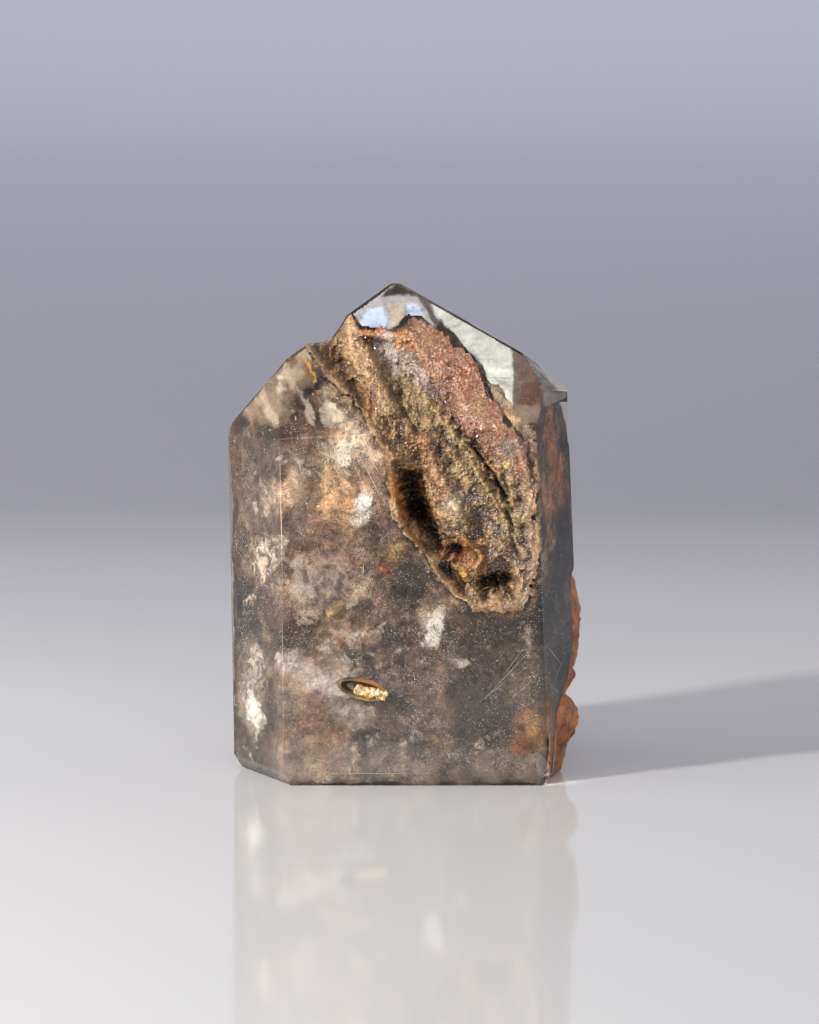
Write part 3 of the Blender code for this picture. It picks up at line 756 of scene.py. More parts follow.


# the crust's colours, with painted shade in its hollows and painted highlights on its crests worked in
def druzyColoursAndPaintedShade(places, depth, recess, fineCrest, broadCrest):
    along, across = turned(places, -58)
    streaked = np.column_stack([along / 2.4, places[:, 1], across])
    stops = [(-0.7, (84, 58, 36)), (-0.2, (128, 98, 68)), (0.25, (156, 126, 92)), (0.8, (190, 162, 126))]
    shift = 0.35 * np.column_stack([smoothNoise(places, 0.5, 361 + n) for n in range(3)])
    torn = tornPlaces(places, 0.6, 2.0, 301) + shift
    colours = paintSpots(gradient(layeredNoise(streaked, 2.2, 311, 5), stops), torn, druzySpots, 0.22)
    pink = np.maximum(spotShare(torn, 11.0, 63.0, 12.5, 3.8, -56), spotShare(torn, 0.6, 66.8, 6.6, 2.8, -48))
    speckled = smoothStep(-0.3, 0.5, layeredNoise(places, 5.0, 331)) * (1.0 - 0.7 * pink)
    mottle = 0.6 * layeredNoise(streaked, 0.9, 321, 3) + 0.4 * layeredNoise(places, 0.7, 325, 2)
    colours = colours * (1.0 + (0.25 + 0.35 * speckled) * mottle)[:, None]
    dark = smoothStep(0.2, 0.55, layeredNoise(places, 0.55, 341, 2)) * (0.05 + 0.25 * speckled)
    colours = colours * (1.0 - dark)[:, None]
    # painted shade and highlight: points that stand above their neighbours made lighter, points below them
    # darker
    crest = np.clip(fineCrest / 0.16, -1.0, 1.0)
    broad = np.clip(broadCrest / 0.7, -1.0, 1.0)
    crestShadeStrength = 1.0 - 0.5 * pink
    crest = np.where(crest < 0.0, 0.6 * crest, crest)
    colours = colours * np.clip(1.0 + crestShadeStrength * (0.38 * crest + 0.26 * broad), 0.4, 1.7)[:, None]
    # cream on the highest crests, partly the pale sugar and partly a painted highlight
    crestCreamAndHighlight = crestShadeStrength * 0.4 * smoothStep(0.35, 1.0, crest + 0.4 * broad)
    colours = toward(colours, crestCreamAndHighlight, screen(216, 190, 146))
    rimShare = smoothStep(0.2, 0.6, depth) * (1.0 - smoothStep(0.7, 1.6, depth))
    rimShare = rimShare * 0.45 * smoothStep(-0.1, 0.5, layeredNoise(places, 2.6, 351))
    colours = toward(colours, rimShare, screen(196, 172, 132))
    # painted shade: the deepest places of the hollow made darker
    deep = smoothStep(6.0, 11.0, recess) * 0.6
    return np.clip(colours * (1.0 - deep)[:, None] * druzy["tint"], 0.003, 0.93)


def druzyMaterial():
    paint = Paint("druzySugar")
    tone = paint.attribute("tone", "Color")
    grain = paint.noise(0.26, 3.0, 0.7)
    greys = [(0.34, (0.45, 0.42, 0.39)), (0.5, (0.95, 0.95, 0.95)), (0.66, (1.5, 1.5, 1.5))]
    colour = paint.mix(0.9, tone, paint.ramp(grain, greys), "MULTIPLY")
    glint = paint.ease(paint.noise(0.19, 2.0, 0.6), 0.62, 0.68)
    colour = paint.mix(glint * 0.65, colour, (0.88, 0.80, 0.70))
    sockets = {"Vector": paint.place, "Scale": 1.0 / 0.34}
    facet = paint.add("ShaderNodeTexVoronoi", {}, sockets, "Color")
    tilt = paint.add("ShaderNodeVectorMath", {"operation": "SUBTRACT"}, {0: facet, 1: (0.5, 0.5, 0.5)})
    small = paint.add("ShaderNodeVectorMath", {"operation": "SCALE"}, {0: tilt, "Scale": 0.7})
    normal = paint.add("ShaderNodeNewGeometry", {}, {}, "Normal")
    bent = paint.add("ShaderNodeVectorMath", {"operation": "ADD"}, {0: normal, 1: small})
    even = paint.add("ShaderNodeVectorMath", {"operation": "NORMALIZE"}, {0: bent})
    return paint.finish(
        Base_Color=colour,
        Roughness=0.22 + 0.35 * paint.noise(1.1),
        Specular_IOR_Level=0.6,
        Normal=even,
    )


# Sparks: the facets of the sugar that face a light

sparks = {"tried": 34000, "depth": (1.6, 6.5), "lift": (1.0, 1.9), "size": (0.04, 0.11), "seed": 77}


def makeSparks():  # small flat octahedra in front of the hollow's floor, most in the pink band
    rng = np.random.default_rng(sparks["seed"])
    x = rng.uniform(-14.0, 21.0, sparks["tried"])
    z = rng.uniform(29.0, 75.0, sparks["tried"])
    polished, floor = surfaceFromFront(x, z), hollowFloor(x, z)
    pinkBand = spotShare(flatPlaces(x, z), 11.0, 62.5, 13.0, 4.6, -56)
    low, high = sparks["depth"]
    keep = (surfaceFromBack(x, z) - floor > 2.0) & (floor - polished > low) & (floor - polished < high)
    keep &= rng.random(len(x)) < 0.3 + 0.6 * pinkBand
    x, z, polished, floor = x[keep], z[keep], polished[keep], floor[keep]
    lift = rng.uniform(*sparks["lift"], len(x))
    places = np.column_stack([x, np.maximum(floor - lift, polished + 0.1), z])
    size = rng.uniform(*sparks["size"], (len(x), 1))
    sizes = np.hstack([size, size * rng.uniform(0.5, 1.0, (len(x), 1)), size * 0.35])
    paint = Paint("sugarSpark")
    tone = paint.ramp(paint.noise(3.0), [(0.4, (0.98, 0.93, 0.86)), (0.6, (0.90, 0.93, 1.0))])
    material = paint.finish(Base_Color=tone, Metallic=0.9, Roughness=0.14)
    addGrains("druzySparks", rng, places, sizes, material)


# The garden: the inclusions that fill the stone a little below its faces

garden = {
    "centre": (-1.5, 1.5, 34.0),
    "around": 430,
    "up": 228,
    "below": (0.9, 3.0),  # how far under the polished faces, least and most
    "lowest": 0.5,
    "tint": np.array([0.97, 0.90, 0.83]),
    "sideShare": 0.6,  # how much of that under the side faces
    "bevel": (2.2, 30.0, 0.8),  # at the foot: height, how far it looks down, how far the garden stays inside
    "behindSkin": 0.7,
    "behindHollow": 0.55,
    "foot": 0.35,
    "cuts": [  # planes that the garden also stays behind: way, lean, point
        (90.0, 75.0, (14.0, 0.0, 64.0)),
        (150.0, 45.0, (0.0, 4.0, 66.0)),
        (-90.0, 52.0, (-15.5, 0.0, 64.0)),
    ],
}
gardenSpots = [  # as above, some with their own middle y and half depth after the turn
    (26, 6, 6, 7, 0, 3, 16, (112, 72, 40), 0.85),
    (25.8, 27, 0.9, 3.4, -10, -8, 8, (226, 214, 204), 0.9),
    (24.2, 13, 0.7, 3, 10, -11, 8, (240, 232, 222), 0.9),
    (23.8, 31, 1.5, 2.6, 0, -12, 8, (20, 18, 20), 0.9),
    (25.4, 19, 1.2, 2.4, 0, -8, 8, (26, 24, 26), 0.85),
    (-8.5, 59.4, 4.8, 1.7, -12, (224, 206, 180), 0.95),
    (-9.3, 54.6, 3.4, 2.6, 0, (232, 216, 194), 0.92),
    (-4.8, 55.5, 4.4, 1.6, -60, (214, 198, 174), 0.85),
    (-11, 47.8, 3.6, 5.4, 0, (214, 172, 126), 0.92),
    (-12.5, 52.6, 2.6, 2.2, 20, (216, 190, 158), 0.8),
    (-6.7, 45.4, 1.5, 2.9, -18, (232, 226, 218), 0.95),
    (-15, 50, 2.6, 4.5, 10, (112, 98, 88), 0.7),
    (-16.5, 42.5, 2.8, 4, 0, (106, 92, 84), 0.6),
    (-24.1, 35, 2.4, 3.6, 0, -9, 7, (200, 174, 150), 0.8),
    (-22, 44, 1.8, 6, 0, -11, 7, (186, 164, 150), 0.6),
    (-20, 38, 1.4, 6, 0, -14, 7, (88, 76, 70), 0.7),
    (-13, 33.8, 4.8, 4.6, 0, (164, 146, 138), 0.7),
    (-25, 27.5, 5.4, 1.5, -64, -7, 8, (44, 37, 28), 0.92),
    (-21.8, 21.6, 3, 1.8, -30, -12, 7, (78, 68, 56), 0.7),
    (-10.4, 28.9, 2.8, 1.3, 20, (152, 134, 84), 0.8),
    (-12.4, 24.6, 1.2, 0.9, -20, -16, 6, (118, 94, 36), 0.9),
    (-9.9, 23.2, 1.3, 0.8, -35, -16, 6, (146, 84, 32), 0.9),
    (-7.3, 25.8, 1.2, 2.2, -30, -16, 6, (82, 62, 42), 0.75),
    (-7.6, 21.2, 3.6, 1.3, -12, -16, 6, (58, 48, 38), 0.88),
    (-7.8, 37.1, 1.4, 1.1, 0, -16, 6, (176, 128, 90), 0.8),
    (-2.9, 35.8, 1.5, 1.8, 30, -16, 6, (168, 98, 42), 0.85),
    (-4, 39.8, 2.6, 1.8, -40, -16, 6, (94, 82, 64), 0.75),
    (1.4, 33.3, 3, 3.8, -10, -16, 6, (46, 39, 28), 0.92),
    (-1, 38.2, 2.2, 2.2, -50, -16, 6, (138, 104, 48), 0.8),
    (5.2, 26.4, 2, 3.2, -15, -16, 6, (212, 203, 190), 0.92),
    (8.2, 20.6, 2.4, 1, -10, -16, 6, (186, 176, 166), 0.55),
    (-16.8, 19.4, 4.4, 2.2, -25, (196, 186, 174), 0.75),
    (-11.5, 16.8, 4.8, 2, 0, (186, 176, 165), 0.85),
    (-24.3, 17.4, 3, 5.2, -5, -8, 8, (190, 178, 162), 0.8),
    (-24.3, 10.6, 2.2, 4.2, 5, -8, 8, (214, 206, 194), 0.92),
    (-7.6, 12.3, 3.6, 2, -20, (184, 174, 163), 0.65),
    (-18.5, 13, 2.6, 3.6, 0, -15, 6, (100, 91, 85), 0.65),
    (0.5, 15, 5.5, 5, 0, -16, 6, (98, 86, 80), 0.6),
    (13, 23.5, 7, 6.5, 0, (96, 82, 76), 0.65),
    (11, 13, 7.5, 4.5, 0, (92, 80, 75), 0.65),
    (0, 2, 34, 4.6, 0, -16, 40, (158, 150, 144), 0.55),
    (21, 9.3, 2.9, 3.6, 0, (214, 156, 84), 0.92),
    (19, 6.6, 1.8, 1.6, 20, -16, 6, (178, 98, 32), 0.92),
    (19.4, 9.4, 0.8, 1.3, 40, -17, 5, (60, 36, 12), 0.95),
    (16.9, 13.5, 0.6, 0.6, 0, -17, 5, (120, 110, 24), 0.95),
    (19, 15.5, 2.6, 3.2, 60, -16, 6, (158, 142, 112), 0.7),
    (16.5, 3.6, 5.4, 2.4, 0, -16, 6, (166, 142, 126), 0.7),
    (25.3, 53.5, 1.6, 6.5, 0, -8, 8, (74, 68, 72), 0.85),
    (27.6, 46, 1, 10, 0, -4, 6, (122, 96, 84), 0.85),
    (23.8, 52.5, 9.5, 1.3, -82, -12, 9, (216, 150, 98), 0.95),
    (23.2, 45.5, 1.1, 4.6, 0, -13, 7, (224, 166, 120), 0.9),
    (25, 36.5, 3.4, 6.5, 0, -9, 10, (36, 34, 38), 0.93),
    (24.6, 20.5, 3.4, 9.5, 0, -9, 10, (78, 76, 82), 0.9),
    (-26.8, 45, 1.3, 15, 0, -4, 7, (124, 96, 60), 0.7),
    # painted light: the garden's top under the clear upper right made near white, for the bright light seen
    # through the clear quartz there
    (13, 64, 12, 5, -28, 2, 15, (228, 231, 224), 0.9),
    (-22.5, 52, 3, 5, 0, -12, 9, (112, 94, 78), 0.6),
    (-13.5, 47, 1.2, 6, 4, (92, 74, 64), 0.7),
    (-20.6, 33, 1.6, 6, 0, -14, 7, (104, 84, 70), 0.6),
    (12, 24.5, 9, 3, -6, (84, 68, 58), 0.7),
    (14, 27.5, 8, 1.2, 4, (120, 92, 58), 0.6),
]


def gardenReach(directions, centre):  # distance along each direction to the nearest of the sunk planes
    places = directions * 25.0
    sunk = np.interp(layeredNoise(places, 9.0, 91), (-0.8, 0.8), garden["below"])
    planes = []
    for normal, point in facePlanes:
        share = garden["sideShare"] if abs(normal[0]) > 0.4 else 1.0
        planes.append((normal, normal @ (point - centre) - sunk * share))
    height, lean, margin = garden["bevel"]
    for azimuth, rise, point in stone["walls"]:
        normal, wall = outward(azimuth, -lean), outward(azimuth, rise)
        slant = (point[2] - height) * math.tan(math.radians(rise))
        edge = np.array(point) - wall * margin + wall * slant
        planes.append((normal, normal @ (np.array([edge[0], edge[1], height]) - centre)))
    uneven = 2.0 * layeredNoise(places, 9.0, 97)
    for azimuth, lean, point in garden["cuts"]:
        normal = outward(azimuth, lean)
        planes.append((normal, normal @ (np.array(point) - centre) + uneven))
    floorGap = centre[2] - garden["lowest"] - 0.5 * np.abs(layeredNoise(places, 4.0, 99))
    planes.append((np.array([0.0, 0.0, -1.0]), floorGap))
    reach = np.full(len(directions), 90.0)
    for normal, gap in planes:
        ahead = directions @ normal
        reach = np.where(ahead > 1e-3, np.minimum(reach, gap / np.maximum(ahead, 1e-3)), reach)
    return reach


def makeGarden():  # a closed form, centre + direction * reach over all directions, shaped round the hollow
    centre = np.array(garden["centre"])
    around, up = garden["around"], garden["up"]
    turn = np.arange(around) / around * 2 * math.pi
    rise = (np.arange(1, up) / up - 0.5) * math.pi
    turns, rises = (part.ravel() for part in np.meshgrid(turn, rise))
    level = np.cos(rises)
    directions = np.column_stack([level * np.cos(turns), level * np.sin(turns), np.sin(rises)])
    directions = np.concatenate([[[0.0, 0.0, -1.0]], directions, [[0.0, 0.0, 1.0]]])
    points = centre + directions * gardenReach(directions, centre)[:, None]
    lumps = 0.75 * layeredNoise(points, 2.6, 101, 4)
    points -= directions * np.clip(lumps, -0.5, 1.5)[:, None]
    x, y, z = points.T
    beside = rimDistance(x, z, hollow["rim"])
    shallow = surfaceFromFront(x, z) + 0.45 + 0.3 * layeredNoise(points, 1.6, 111)
    lifted = smoothStep(-4.5, -1.0, beside) * (beside < -0.3) * (y < -6.0)
    y += lifted * np.minimum(shallow - y, 0.0)
    sunk = np.maximum(y, hollowFloor(x, z) + garden["behindHollow"])
    y[:] = np.where((beside > -0.3) & (y < 6.0), sunk, y)
    x[:] = np.where(x > 12.0, np.minimum(x, skinFloor(y, z) - garden["behindSkin"]), x)
    z[:] = np.maximum(z, garden["foot"])
    ring = 1 + np.arange((up - 1) * around).reshape(up - 1, around)
    after = np.roll(ring, -1, axis=1)
    quads = np.stack([ring[:-1], after[:-1], after[1:], ring[1:]], axis=-1).reshape(-1, 4)
    low = np.column_stack([np.zeros(around, int), after[0], ring[0]])
    high = np.column_stack([np.full(around, len(points) - 1), ring[-1], after[-1]])
    piece = addPiece("gardenMass", points, [quads, low, high], gardenMaterial())
    giveColours(piece, "tone", gardenColours(points))
    busy = 0.3 + 0.7 * smoothStep(5.0, 17.0, z + 4.0 * layeredNoise(points, 7.0, 471))
    pale = spotShare(points, -17.0, 17.0, 7.0, 4.5, -12, -16.0, 7.0)
    giveValues(piece, "busy", busy * (1.0 - 0.6 * pale))
    print("gardenMass", len(quads), "quads")


def gardenColours(points):
    x, y, z = points.T
    stops = [
        (-0.7, (46, 33, 25)), (-0.3, (84, 65, 53)), (0.05, (122, 98, 83)),
        (0.4, (158, 132, 112)), (0.8, (204, 180, 154)),
    ]
    colours = gradient(layeredNoise(tornPlaces(points, 1.6, 5.0, 401), 6.0, 411, 5), stops)
    tint = smoothStep(-0.2, 0.6, layeredNoise(points, 13.0, 421))[:, None]
    colours = colours * (1.0 + tint * np.array([0.06, -0.03, -0.16]))
    colours = paintSpots(colours, tornPlaces(points, 1.0, 3.4, 431), gardenSpots, usual=(-16.0, 7.0))
    edge = rimDistance(x, z, hollow["rim"]) + 1.6 * layeredNoise(points, 3.0, 451, 4)
    near = smoothStep(-2.6, -1.0, edge) * (y < 0)
    sugarStops = [(-0.5, (70, 50, 32)), (0.0, (140, 112, 80)), (0.5, (196, 172, 136))]
    colours = toward(colours, 0.85 * near, gradient(layeredNoise(points, 1.4, 461, 4), sugarStops))
    leftWall = 0.62 * smoothStep(-19.0, -21.0, x)
    rightWall = 0.32 * smoothStep(21.0, 22.5, x)
    crown = 0.38 * smoothStep(57.0, 59.0, z) * (x < -4.0)
    low = 0.4 * smoothStep(1.0, 10.0, x) * smoothStep(36.0, 30.0, z)
    mottle = 1.0 + 0.4 * layeredNoise(points, 1.5, 441, 2)
    shade = 0.88 * (1.0 - leftWall) * (1.0 - rightWall) * (1.0 - crown) * (1.0 - low) * mottle
    return underGlass(np.clip(colours * shade[:, None] * garden["tint"], 0.004, 0.9))


def gardenMaterial():
    paint = Paint("gardenInclusions")
    colour = paint.attribute("tone", "Color")
    busy = paint.attribute("busy")
    wisp = paint.noise(3.4, 9.0, 0.70, warp=0.7)
    lighter = paint.mix(1.0, colour, (1.55, 1.50, 1.45), "MULTIPLY")
    darker = paint.mix(1.0, colour, (0.30, 0.25, 0.21), "MULTIPLY")
    colour = paint.mix(paint.ease(wisp, 0.50, 0.61) * busy * 0.95, colour, lighter)
    colour = paint.mix(paint.ease(wisp, 0.47, 0.37) * busy * 0.95, colour, darker)
    fibre = paint.noise(0.9, 6.0, 0.68, warp=1.3)
    grit = paint.grit(fibre, 0.32, 0.68, (0.10, 0.09, 0.08), (0.94, 0.92, 0.90))
    colour = paint.mix(busy * 0.5 + 0.35, colour, grit, "OVERLAY")
    cluster = paint.ease(paint.noise(2.6, 4.0, 0.6), 0.46, 0.60)
    pepper = paint.ease(paint.noise(0.26, 3.0, 0.65), 0.44, 0.38) * (0.15 + 0.8 * cluster) * busy
    colour = paint.mix(pepper, colour, (0.030, 0.020, 0.014))
    bright = paint.ease(paint.noise(3.1, 4.0, 0.6), 0.44, 0.58)
    salt = paint.ease(paint.noise(0.22, 3.0, 0.65, warp=0.4), 0.60, 0.66) * (0.04 + 0.8 * bright) * busy
    colour = paint.mix(salt, colour, (0.92, 0.86, 0.76))
    return paint.finish(
        Base_Color=colour,
        Roughness=0.7,
        Specular_IOR_Level=0.3,
        Normal=paint.bump(fibre + wisp, 0.45, 1.0),
    )


# Thin sheets of clouds, specks and crack faces that hang between the garden and the polished faces, one of
# them also painted with the crown facets' reflections and glints

frontVeil = {
    "box": (-26.0, 22.0, 1.2, stone["shoulder"]),
    "cell": 0.3,
    "depth": 0.75,
    "thickness": 0.05,
    "tear": 1.0,
}
frontClouds = [  # middle x and z, half sizes, turn, colour on screen, how much it covers
    (-8.5, 59.4, 4.2, 1.3, -12, (214, 196, 172), 0.9),
    (-9.3, 54.6, 2, 1.6, 0, (226, 212, 192), 0.9),
    (-4.8, 56, 3.4, 0.9, -58, (200, 186, 166), 0.8),
    (-11.2, 49, 2.8, 3.6, 0, (206, 168, 126), 0.6),
    (-6.7, 45.6, 1.2, 2.7, -18, (240, 236, 230), 1),
    (-16.8, 46, 1.2, 5, 8, (178, 156, 136), 0.5),
    (-22.5, 36, 2.2, 4.6, 0, (206, 184, 162), 0.7),
    (-22.6, 47, 1.6, 4, 8, (198, 178, 160), 0.6),
    (-12.5, 35, 4.6, 4, 0, (172, 154, 146), 0.5),
    (5.2, 26.6, 1.7, 3, -15, (216, 208, 196), 0.95),
    (-17, 19.6, 4.2, 1.7, -28, (200, 190, 178), 0.75),
    (-11.4, 16.6, 4.4, 1.9, 0, (190, 180, 168), 0.85),
    (-23.6, 18, 1.6, 4, -5, (190, 178, 164), 0.7),
    (-24, 10.6, 1.8, 3.6, 8, (220, 212, 200), 0.95),
    (-7.4, 12.2, 3.2, 1.4, -20, (190, 180, 168), 0.7),
    (-1, 8.5, 9, 1.8, 8, (168, 158, 150), 0.4),
    (10, 6.5, 8, 1.5, -8, (166, 154, 146), 0.4),
    (9.5, 20, 2.2, 0.8, 0, (190, 178, 168), 0.6),
    (1, 22, 3.6, 0.9, -20, (170, 154, 142), 0.5),
    (19.4, 24, 1.6, 6, -10, (170, 156, 142), 0.5),
]
crownVeil = {"box": (-26.0, 27.6, 50.0, 80.0), "cell": 0.22, "depth": 0.8, "thickness": 0.05, "tear": 0.12}
crownFacetsAndReflections = [  # colour on screen, how much it covers, corners in order as seen from the front
    # painted reflections: the apex facets in grey and pale blue panes, with a dark cap and band
    ((182, 181, 186), 0.55, (-9, 75), (-1.1, 80.2), (7, 75.6), (5, 73.2), (-2, 72.4), (-7, 73)),
    ((34, 27, 22), 0.95, (-3.2, 78), (2.2, 78), (-0.6, 80.4)),
    ((182, 200, 236), 0.85, (-7.1, 73.6), (-5.2, 76), (-2.9, 76.2), (-2.5, 74.4), (-3.1, 72.9),
     (-5.3, 72.4)),
    ((190, 172, 142), 0.6, (-2.3, 76.6), (0.3, 76.9), (0.6, 74.4), (-1.7, 72.8)),
    ((176, 192, 220), 0.8, (0.9, 77), (2.4, 76.7), (3.3, 74.4), (1, 74.6)),
    ((50, 40, 33), 0.85, (2.2, 77.9), (3.2, 78.1), (7, 73), (5.8, 72.8)),
    # painted light: the clear upper right facets near white, for the light seen through them
    ((206, 210, 206), 0.6, (4.2, 77.4), (17.6, 70.3), (17.8, 65), (12.6, 67.4), (8.2, 72.2), (6, 74.4)),
    ((222, 227, 219), 0.66, (12.8, 67.8), (17.8, 67), (17.8, 58.6), (15.6, 60.6), (14, 64.4)),
    ((104, 88, 78), 0.72, (17.8, 70.2), (21.4, 68.2), (22.6, 66.2), (23, 60.5), (21.5, 54.5),
     (19.5, 56.2), (17.8, 59)),
    ((82, 50, 38), 0.6, (19.4, 65), (22.3, 65.6), (22.8, 61.2), (18.6, 62)),
    ((158, 152, 146), 0.75, (22.4, 69), (27.6, 66), (27.6, 62), (22.8, 61.4)),
    ((70, 60, 54), 0.7, (22, 66.4), (27.6, 65.6), (27.6, 65.3), (22, 66.1)),
    ((78, 66, 58), 0.7, (22.2, 64.2), (27.6, 62.8), (27.6, 62.5), (22.2, 63.9)),
    ((140, 126, 112), 0.5, (18, 62), (22.2, 62), (21.4, 59.3), (18.4, 59.3)),
    ((56, 38, 30), 0.8, (18.4, 59.2), (21.6, 59.2), (21.4, 55.6), (19.8, 55.8)),
    # painted highlights: white glints of cracks on the left crown
    ((232, 226, 214), 0.85, (-20.2, 66), (-19, 66), (-18.8, 65.7), (-20.1, 65.4)),
    ((236, 232, 222), 0.85, (-20.2, 64.2), (-18.8, 64.4), (-18.8, 64.1), (-20, 63.5)),
    ((214, 206, 192), 0.8, (-19.9, 62.6), (-19.3, 62.7), (-19.4, 61.8), (-19.8, 61.9)),
    ((176, 162, 142), 0.5, (-19.7, 67.4), (-19, 67.3), (-15.4, 62.2), (-15.9, 62)),
    ((142, 114, 82), 0.6, (-16.4, 71), (-13.6, 70.8), (-12.4, 68.2), (-17.6, 68)),
    ((86, 72, 60), 0.65, (-17.4, 67.4), (-13.2, 66.8), (-14.2, 64.2), (-16, 64.8)),
    ((208, 196, 176), 0.5, (-16, 60.4), (-15.2, 60.5), (-14, 58.6), (-14.4, 58.4)),
    ((66, 56, 46), 0.6, (-10.4, 57.4), (-4.6, 58.2), (-5.8, 56.6), (-9, 56.6)),
]
crownSpots = [
    # painted reflection: two gold iridescent flashes on cracks
    (-15.5, 68, 1.7, 0.36, -66, (226, 158, 52), 0.85),
    (-14.2, 66, 1.2, 0.3, -50, (200, 148, 66), 0.75),
    (-16.6, 67.6, 2.6, 0.5, -60, (150, 118, 78), 0.5),
    (-20.8, 65.6, 3.4, 0.5, -50, (82, 68, 56), 0.5),
    (-18, 63.4, 4, 0.45, -56, (94, 80, 66), 0.5),
    (-23, 62.4, 3, 0.4, -48, (190, 176, 158), 0.45),
    (-17.2, 59.8, 3, 0.5, -30, (84, 70, 58), 0.5),
    (-11.7, 65.6, 0.8, 0.8, 0, (26, 20, 16), 0.95),
    (-10, 63.9, 2.2, 1.2, -20, (84, 82, 70), 0.8),
    (-22, 61.4, 2.2, 4, -50, (118, 106, 92), 0.5),
    (-22.5, 60, 3.6, 3.6, 0, (124, 104, 84), 0.65),
    (-18.6, 64.5, 2.4, 5, -30, (120, 100, 82), 0.5),
    (-8.6, 60.6, 3.8, 1.1, -12, (216, 198, 174), 0.85),
]


def facetShare(x, z, corners, soft=0.22):  # 1 inside a convex outline, by the nearest of its sides
    nearest = np.full(len(x), 99.0)
    middleX = sum(corner[0] for corner in corners) / len(corners)
    middleZ = sum(corner[1] for corner in corners) / len(corners)
    for (x0, z0), (x1, z1) in zip(corners, corners[1:] + corners[:1]):
        across, rise = z1 - z0, x0 - x1
        length = math.hypot(across, rise)
        side = math.copysign(1.0 / length, (middleX - x0) * across + (middleZ - z0) * rise)
        nearest = np.minimum(nearest, side * ((x - x0) * across + (z - z0) * rise))
    return smoothStep(-soft, soft, nearest)


def layOver(film, share, tone):  # one film of colour over the last; what shows is the nearer film
    colours, cover = film
    part = share / np.maximum(share + cover * (1 - share), 1e-6)
    return toward(colours, part, screen(*tone)), share + cover * (1.0 - share)


def startVeil(own, tone):  # the places of a veil's grid, and a film that covers nothing yet
    x, z, _ = gridOf(own["box"], own["cell"])
    return flatPlaces(x, z), (np.tile(screen(*tone), (len(x), 1)), np.zeros(len(x)))


def makeVeil(name, own, film, specks, rides):  # the polished surface moved in by a depth rolled by noise
    x, z, shape = gridOf(own["box"], own["cell"])
    colours, cover = film
    y = surfaceFromFront(x, z) + own["depth"] * (1.25 + 0.3 * layeredNoise(flatPlaces(x, z), 5.0, 131))
    front = np.column_stack([x, y, z])
    back = front + [0.0, own["thickness"], 0.0]
    fade = np.where(x < 0.0, smoothStep(0.2, 1.9, np.abs(z - stone["shoulder"])), 1.0)
    cover, specks = cover * fade, specks * fade
    keep = (rimDistance(x, z, hollow["rim"]) < -0.45) & insideStone(front, 0.3) & rides
    points, faces, kept = shellOf(front, back, keep & (cover + specks > 0.02), shape)
    piece = addPiece(name, points, [faces], veilMaterial(name, own["tear"]))
    giveColours(piece, "tone", underGlass(colours)[kept])
    giveValues(piece, "cover", cover[kept])
    giveValues(piece, "specks", specks[kept])
    print(name, len(faces), "quads")


def makeFrontVeil():
    places, film = startVeil(frontVeil, (150, 134, 120))
    torn = tornPlaces(places, 0.8, 2.6, 501)
    for *form, tone, strength in frontClouds:
        film = layOver(film, strength * spotShare(torn, *form), tone)
    film = layOver(film, 0.55 * smoothStep(0.1, 0.8, layeredNoise(torn, 4.0, 511, 4)), (182, 164, 146))
    specks = 0.25 + 0.75 * smoothStep(-0.4, 0.5, layeredNoise(places, 5.0, 521))
    makeVeil("frontVeil", frontVeil, film, specks, places[:, 2] < stone["shoulder"])


def makeCrownVeilAndReflections():  # crown facets with their painted reflections and glints, fainter left of x -9, then spots, then slanting streaks on the left
    places, film = startVeil(crownVeil, (130, 118, 106))
    x, _, z = places.T
    torn = tornPlaces(places, 0.3, 1.6, 541)
    for tone, strength, *corners in crownFacetsAndReflections:
        share = strength * facetShare(torn[:, 0], torn[:, 2], corners) * np.where(x < -9.0, 0.75, 1.0)
        film = layOver(film, share, tone)
    torn = tornPlaces(places, 0.8, 1.1, 571)
    for *form, tone, strength in crownSpots:
        film = layOver(film, strength * spotShare(torn, *form), tone)
    left = 1.0 - smoothStep(-9.0, -5.0, x)
    streaks = layeredNoise(np.column_stack([(x + 0.6 * z) * 2.4, np.zeros(len(x)), z - x]), 4.0, 551, 4)
    film = layOver(film, left * 0.5 * smoothStep(0.0, 0.7, streaks), (176, 162, 142))
    specks = 0.5 * left * smoothStep(-0.2, 0.6, layeredNoise(places, 4.0, 561))
    makeVeil("crownVeil", crownVeil, film, specks, (z > stone["shoulder"]) | (x > 17.0))


def veilMaterial(name, tear):
    paint = Paint(name + "Film")
    cover, specks = paint.attribute("cover"), paint.attribute("specks")
    wisp = paint.noise(2.3, 9.0, 0.72, warp=0.6)
    torn = paint.ease(cover * 0.75 + (wisp - 0.5) * 2.6, 0.30, 0.95) * paint.ease(cover, 0.02, 0.2)
    even = cover * (0.55 + 0.9 * paint.noise(1.4, 5.0, 0.65))
    cloud = tear * torn + (1.0 - tear) * even
    dark = paint.ease(paint.noise(0.23, 2.0, 0.6), 0.40, 0.36) * specks
    bright = paint.ease(paint.noise(0.21, 2.0, 0.6, warp=0.5), 0.66, 0.71) * specks
    grit = paint.grit(paint.noise(0.5, 5.0, 0.7), 0.35, 0.65, (0.25, 0.23, 0.21), (0.80, 0.79, 0.78))
    colour = paint.mix(0.15 + 0.55 * tear, paint.attribute("tone", "Color"), grit, "OVERLAY")
    smudge = paint.noise(3.2, 6.0, 0.65, warp=0.8)
    smudge = paint.ramp(smudge, [(0.36, (0.62, 0.60, 0.58)), (0.52, (1.0, 1.0, 1.0))])
    colour = paint.mix(1.0 - tear, colour, smudge, "MULTIPLY")
    colour = paint.mix(dark, colour, (0.035, 0.026, 0.02))
    colour = paint.mix(bright, colour, (0.80, 0.75, 0.68))
    share = cloud.larger((dark * 0.9).larger(bright * 0.9))
    return paint.finish(Base_Color=colour, Roughness=0.85, Specular_IOR_Level=0.1, Alpha=share)


# Grains, needles and fracture flakes inside the clear parts

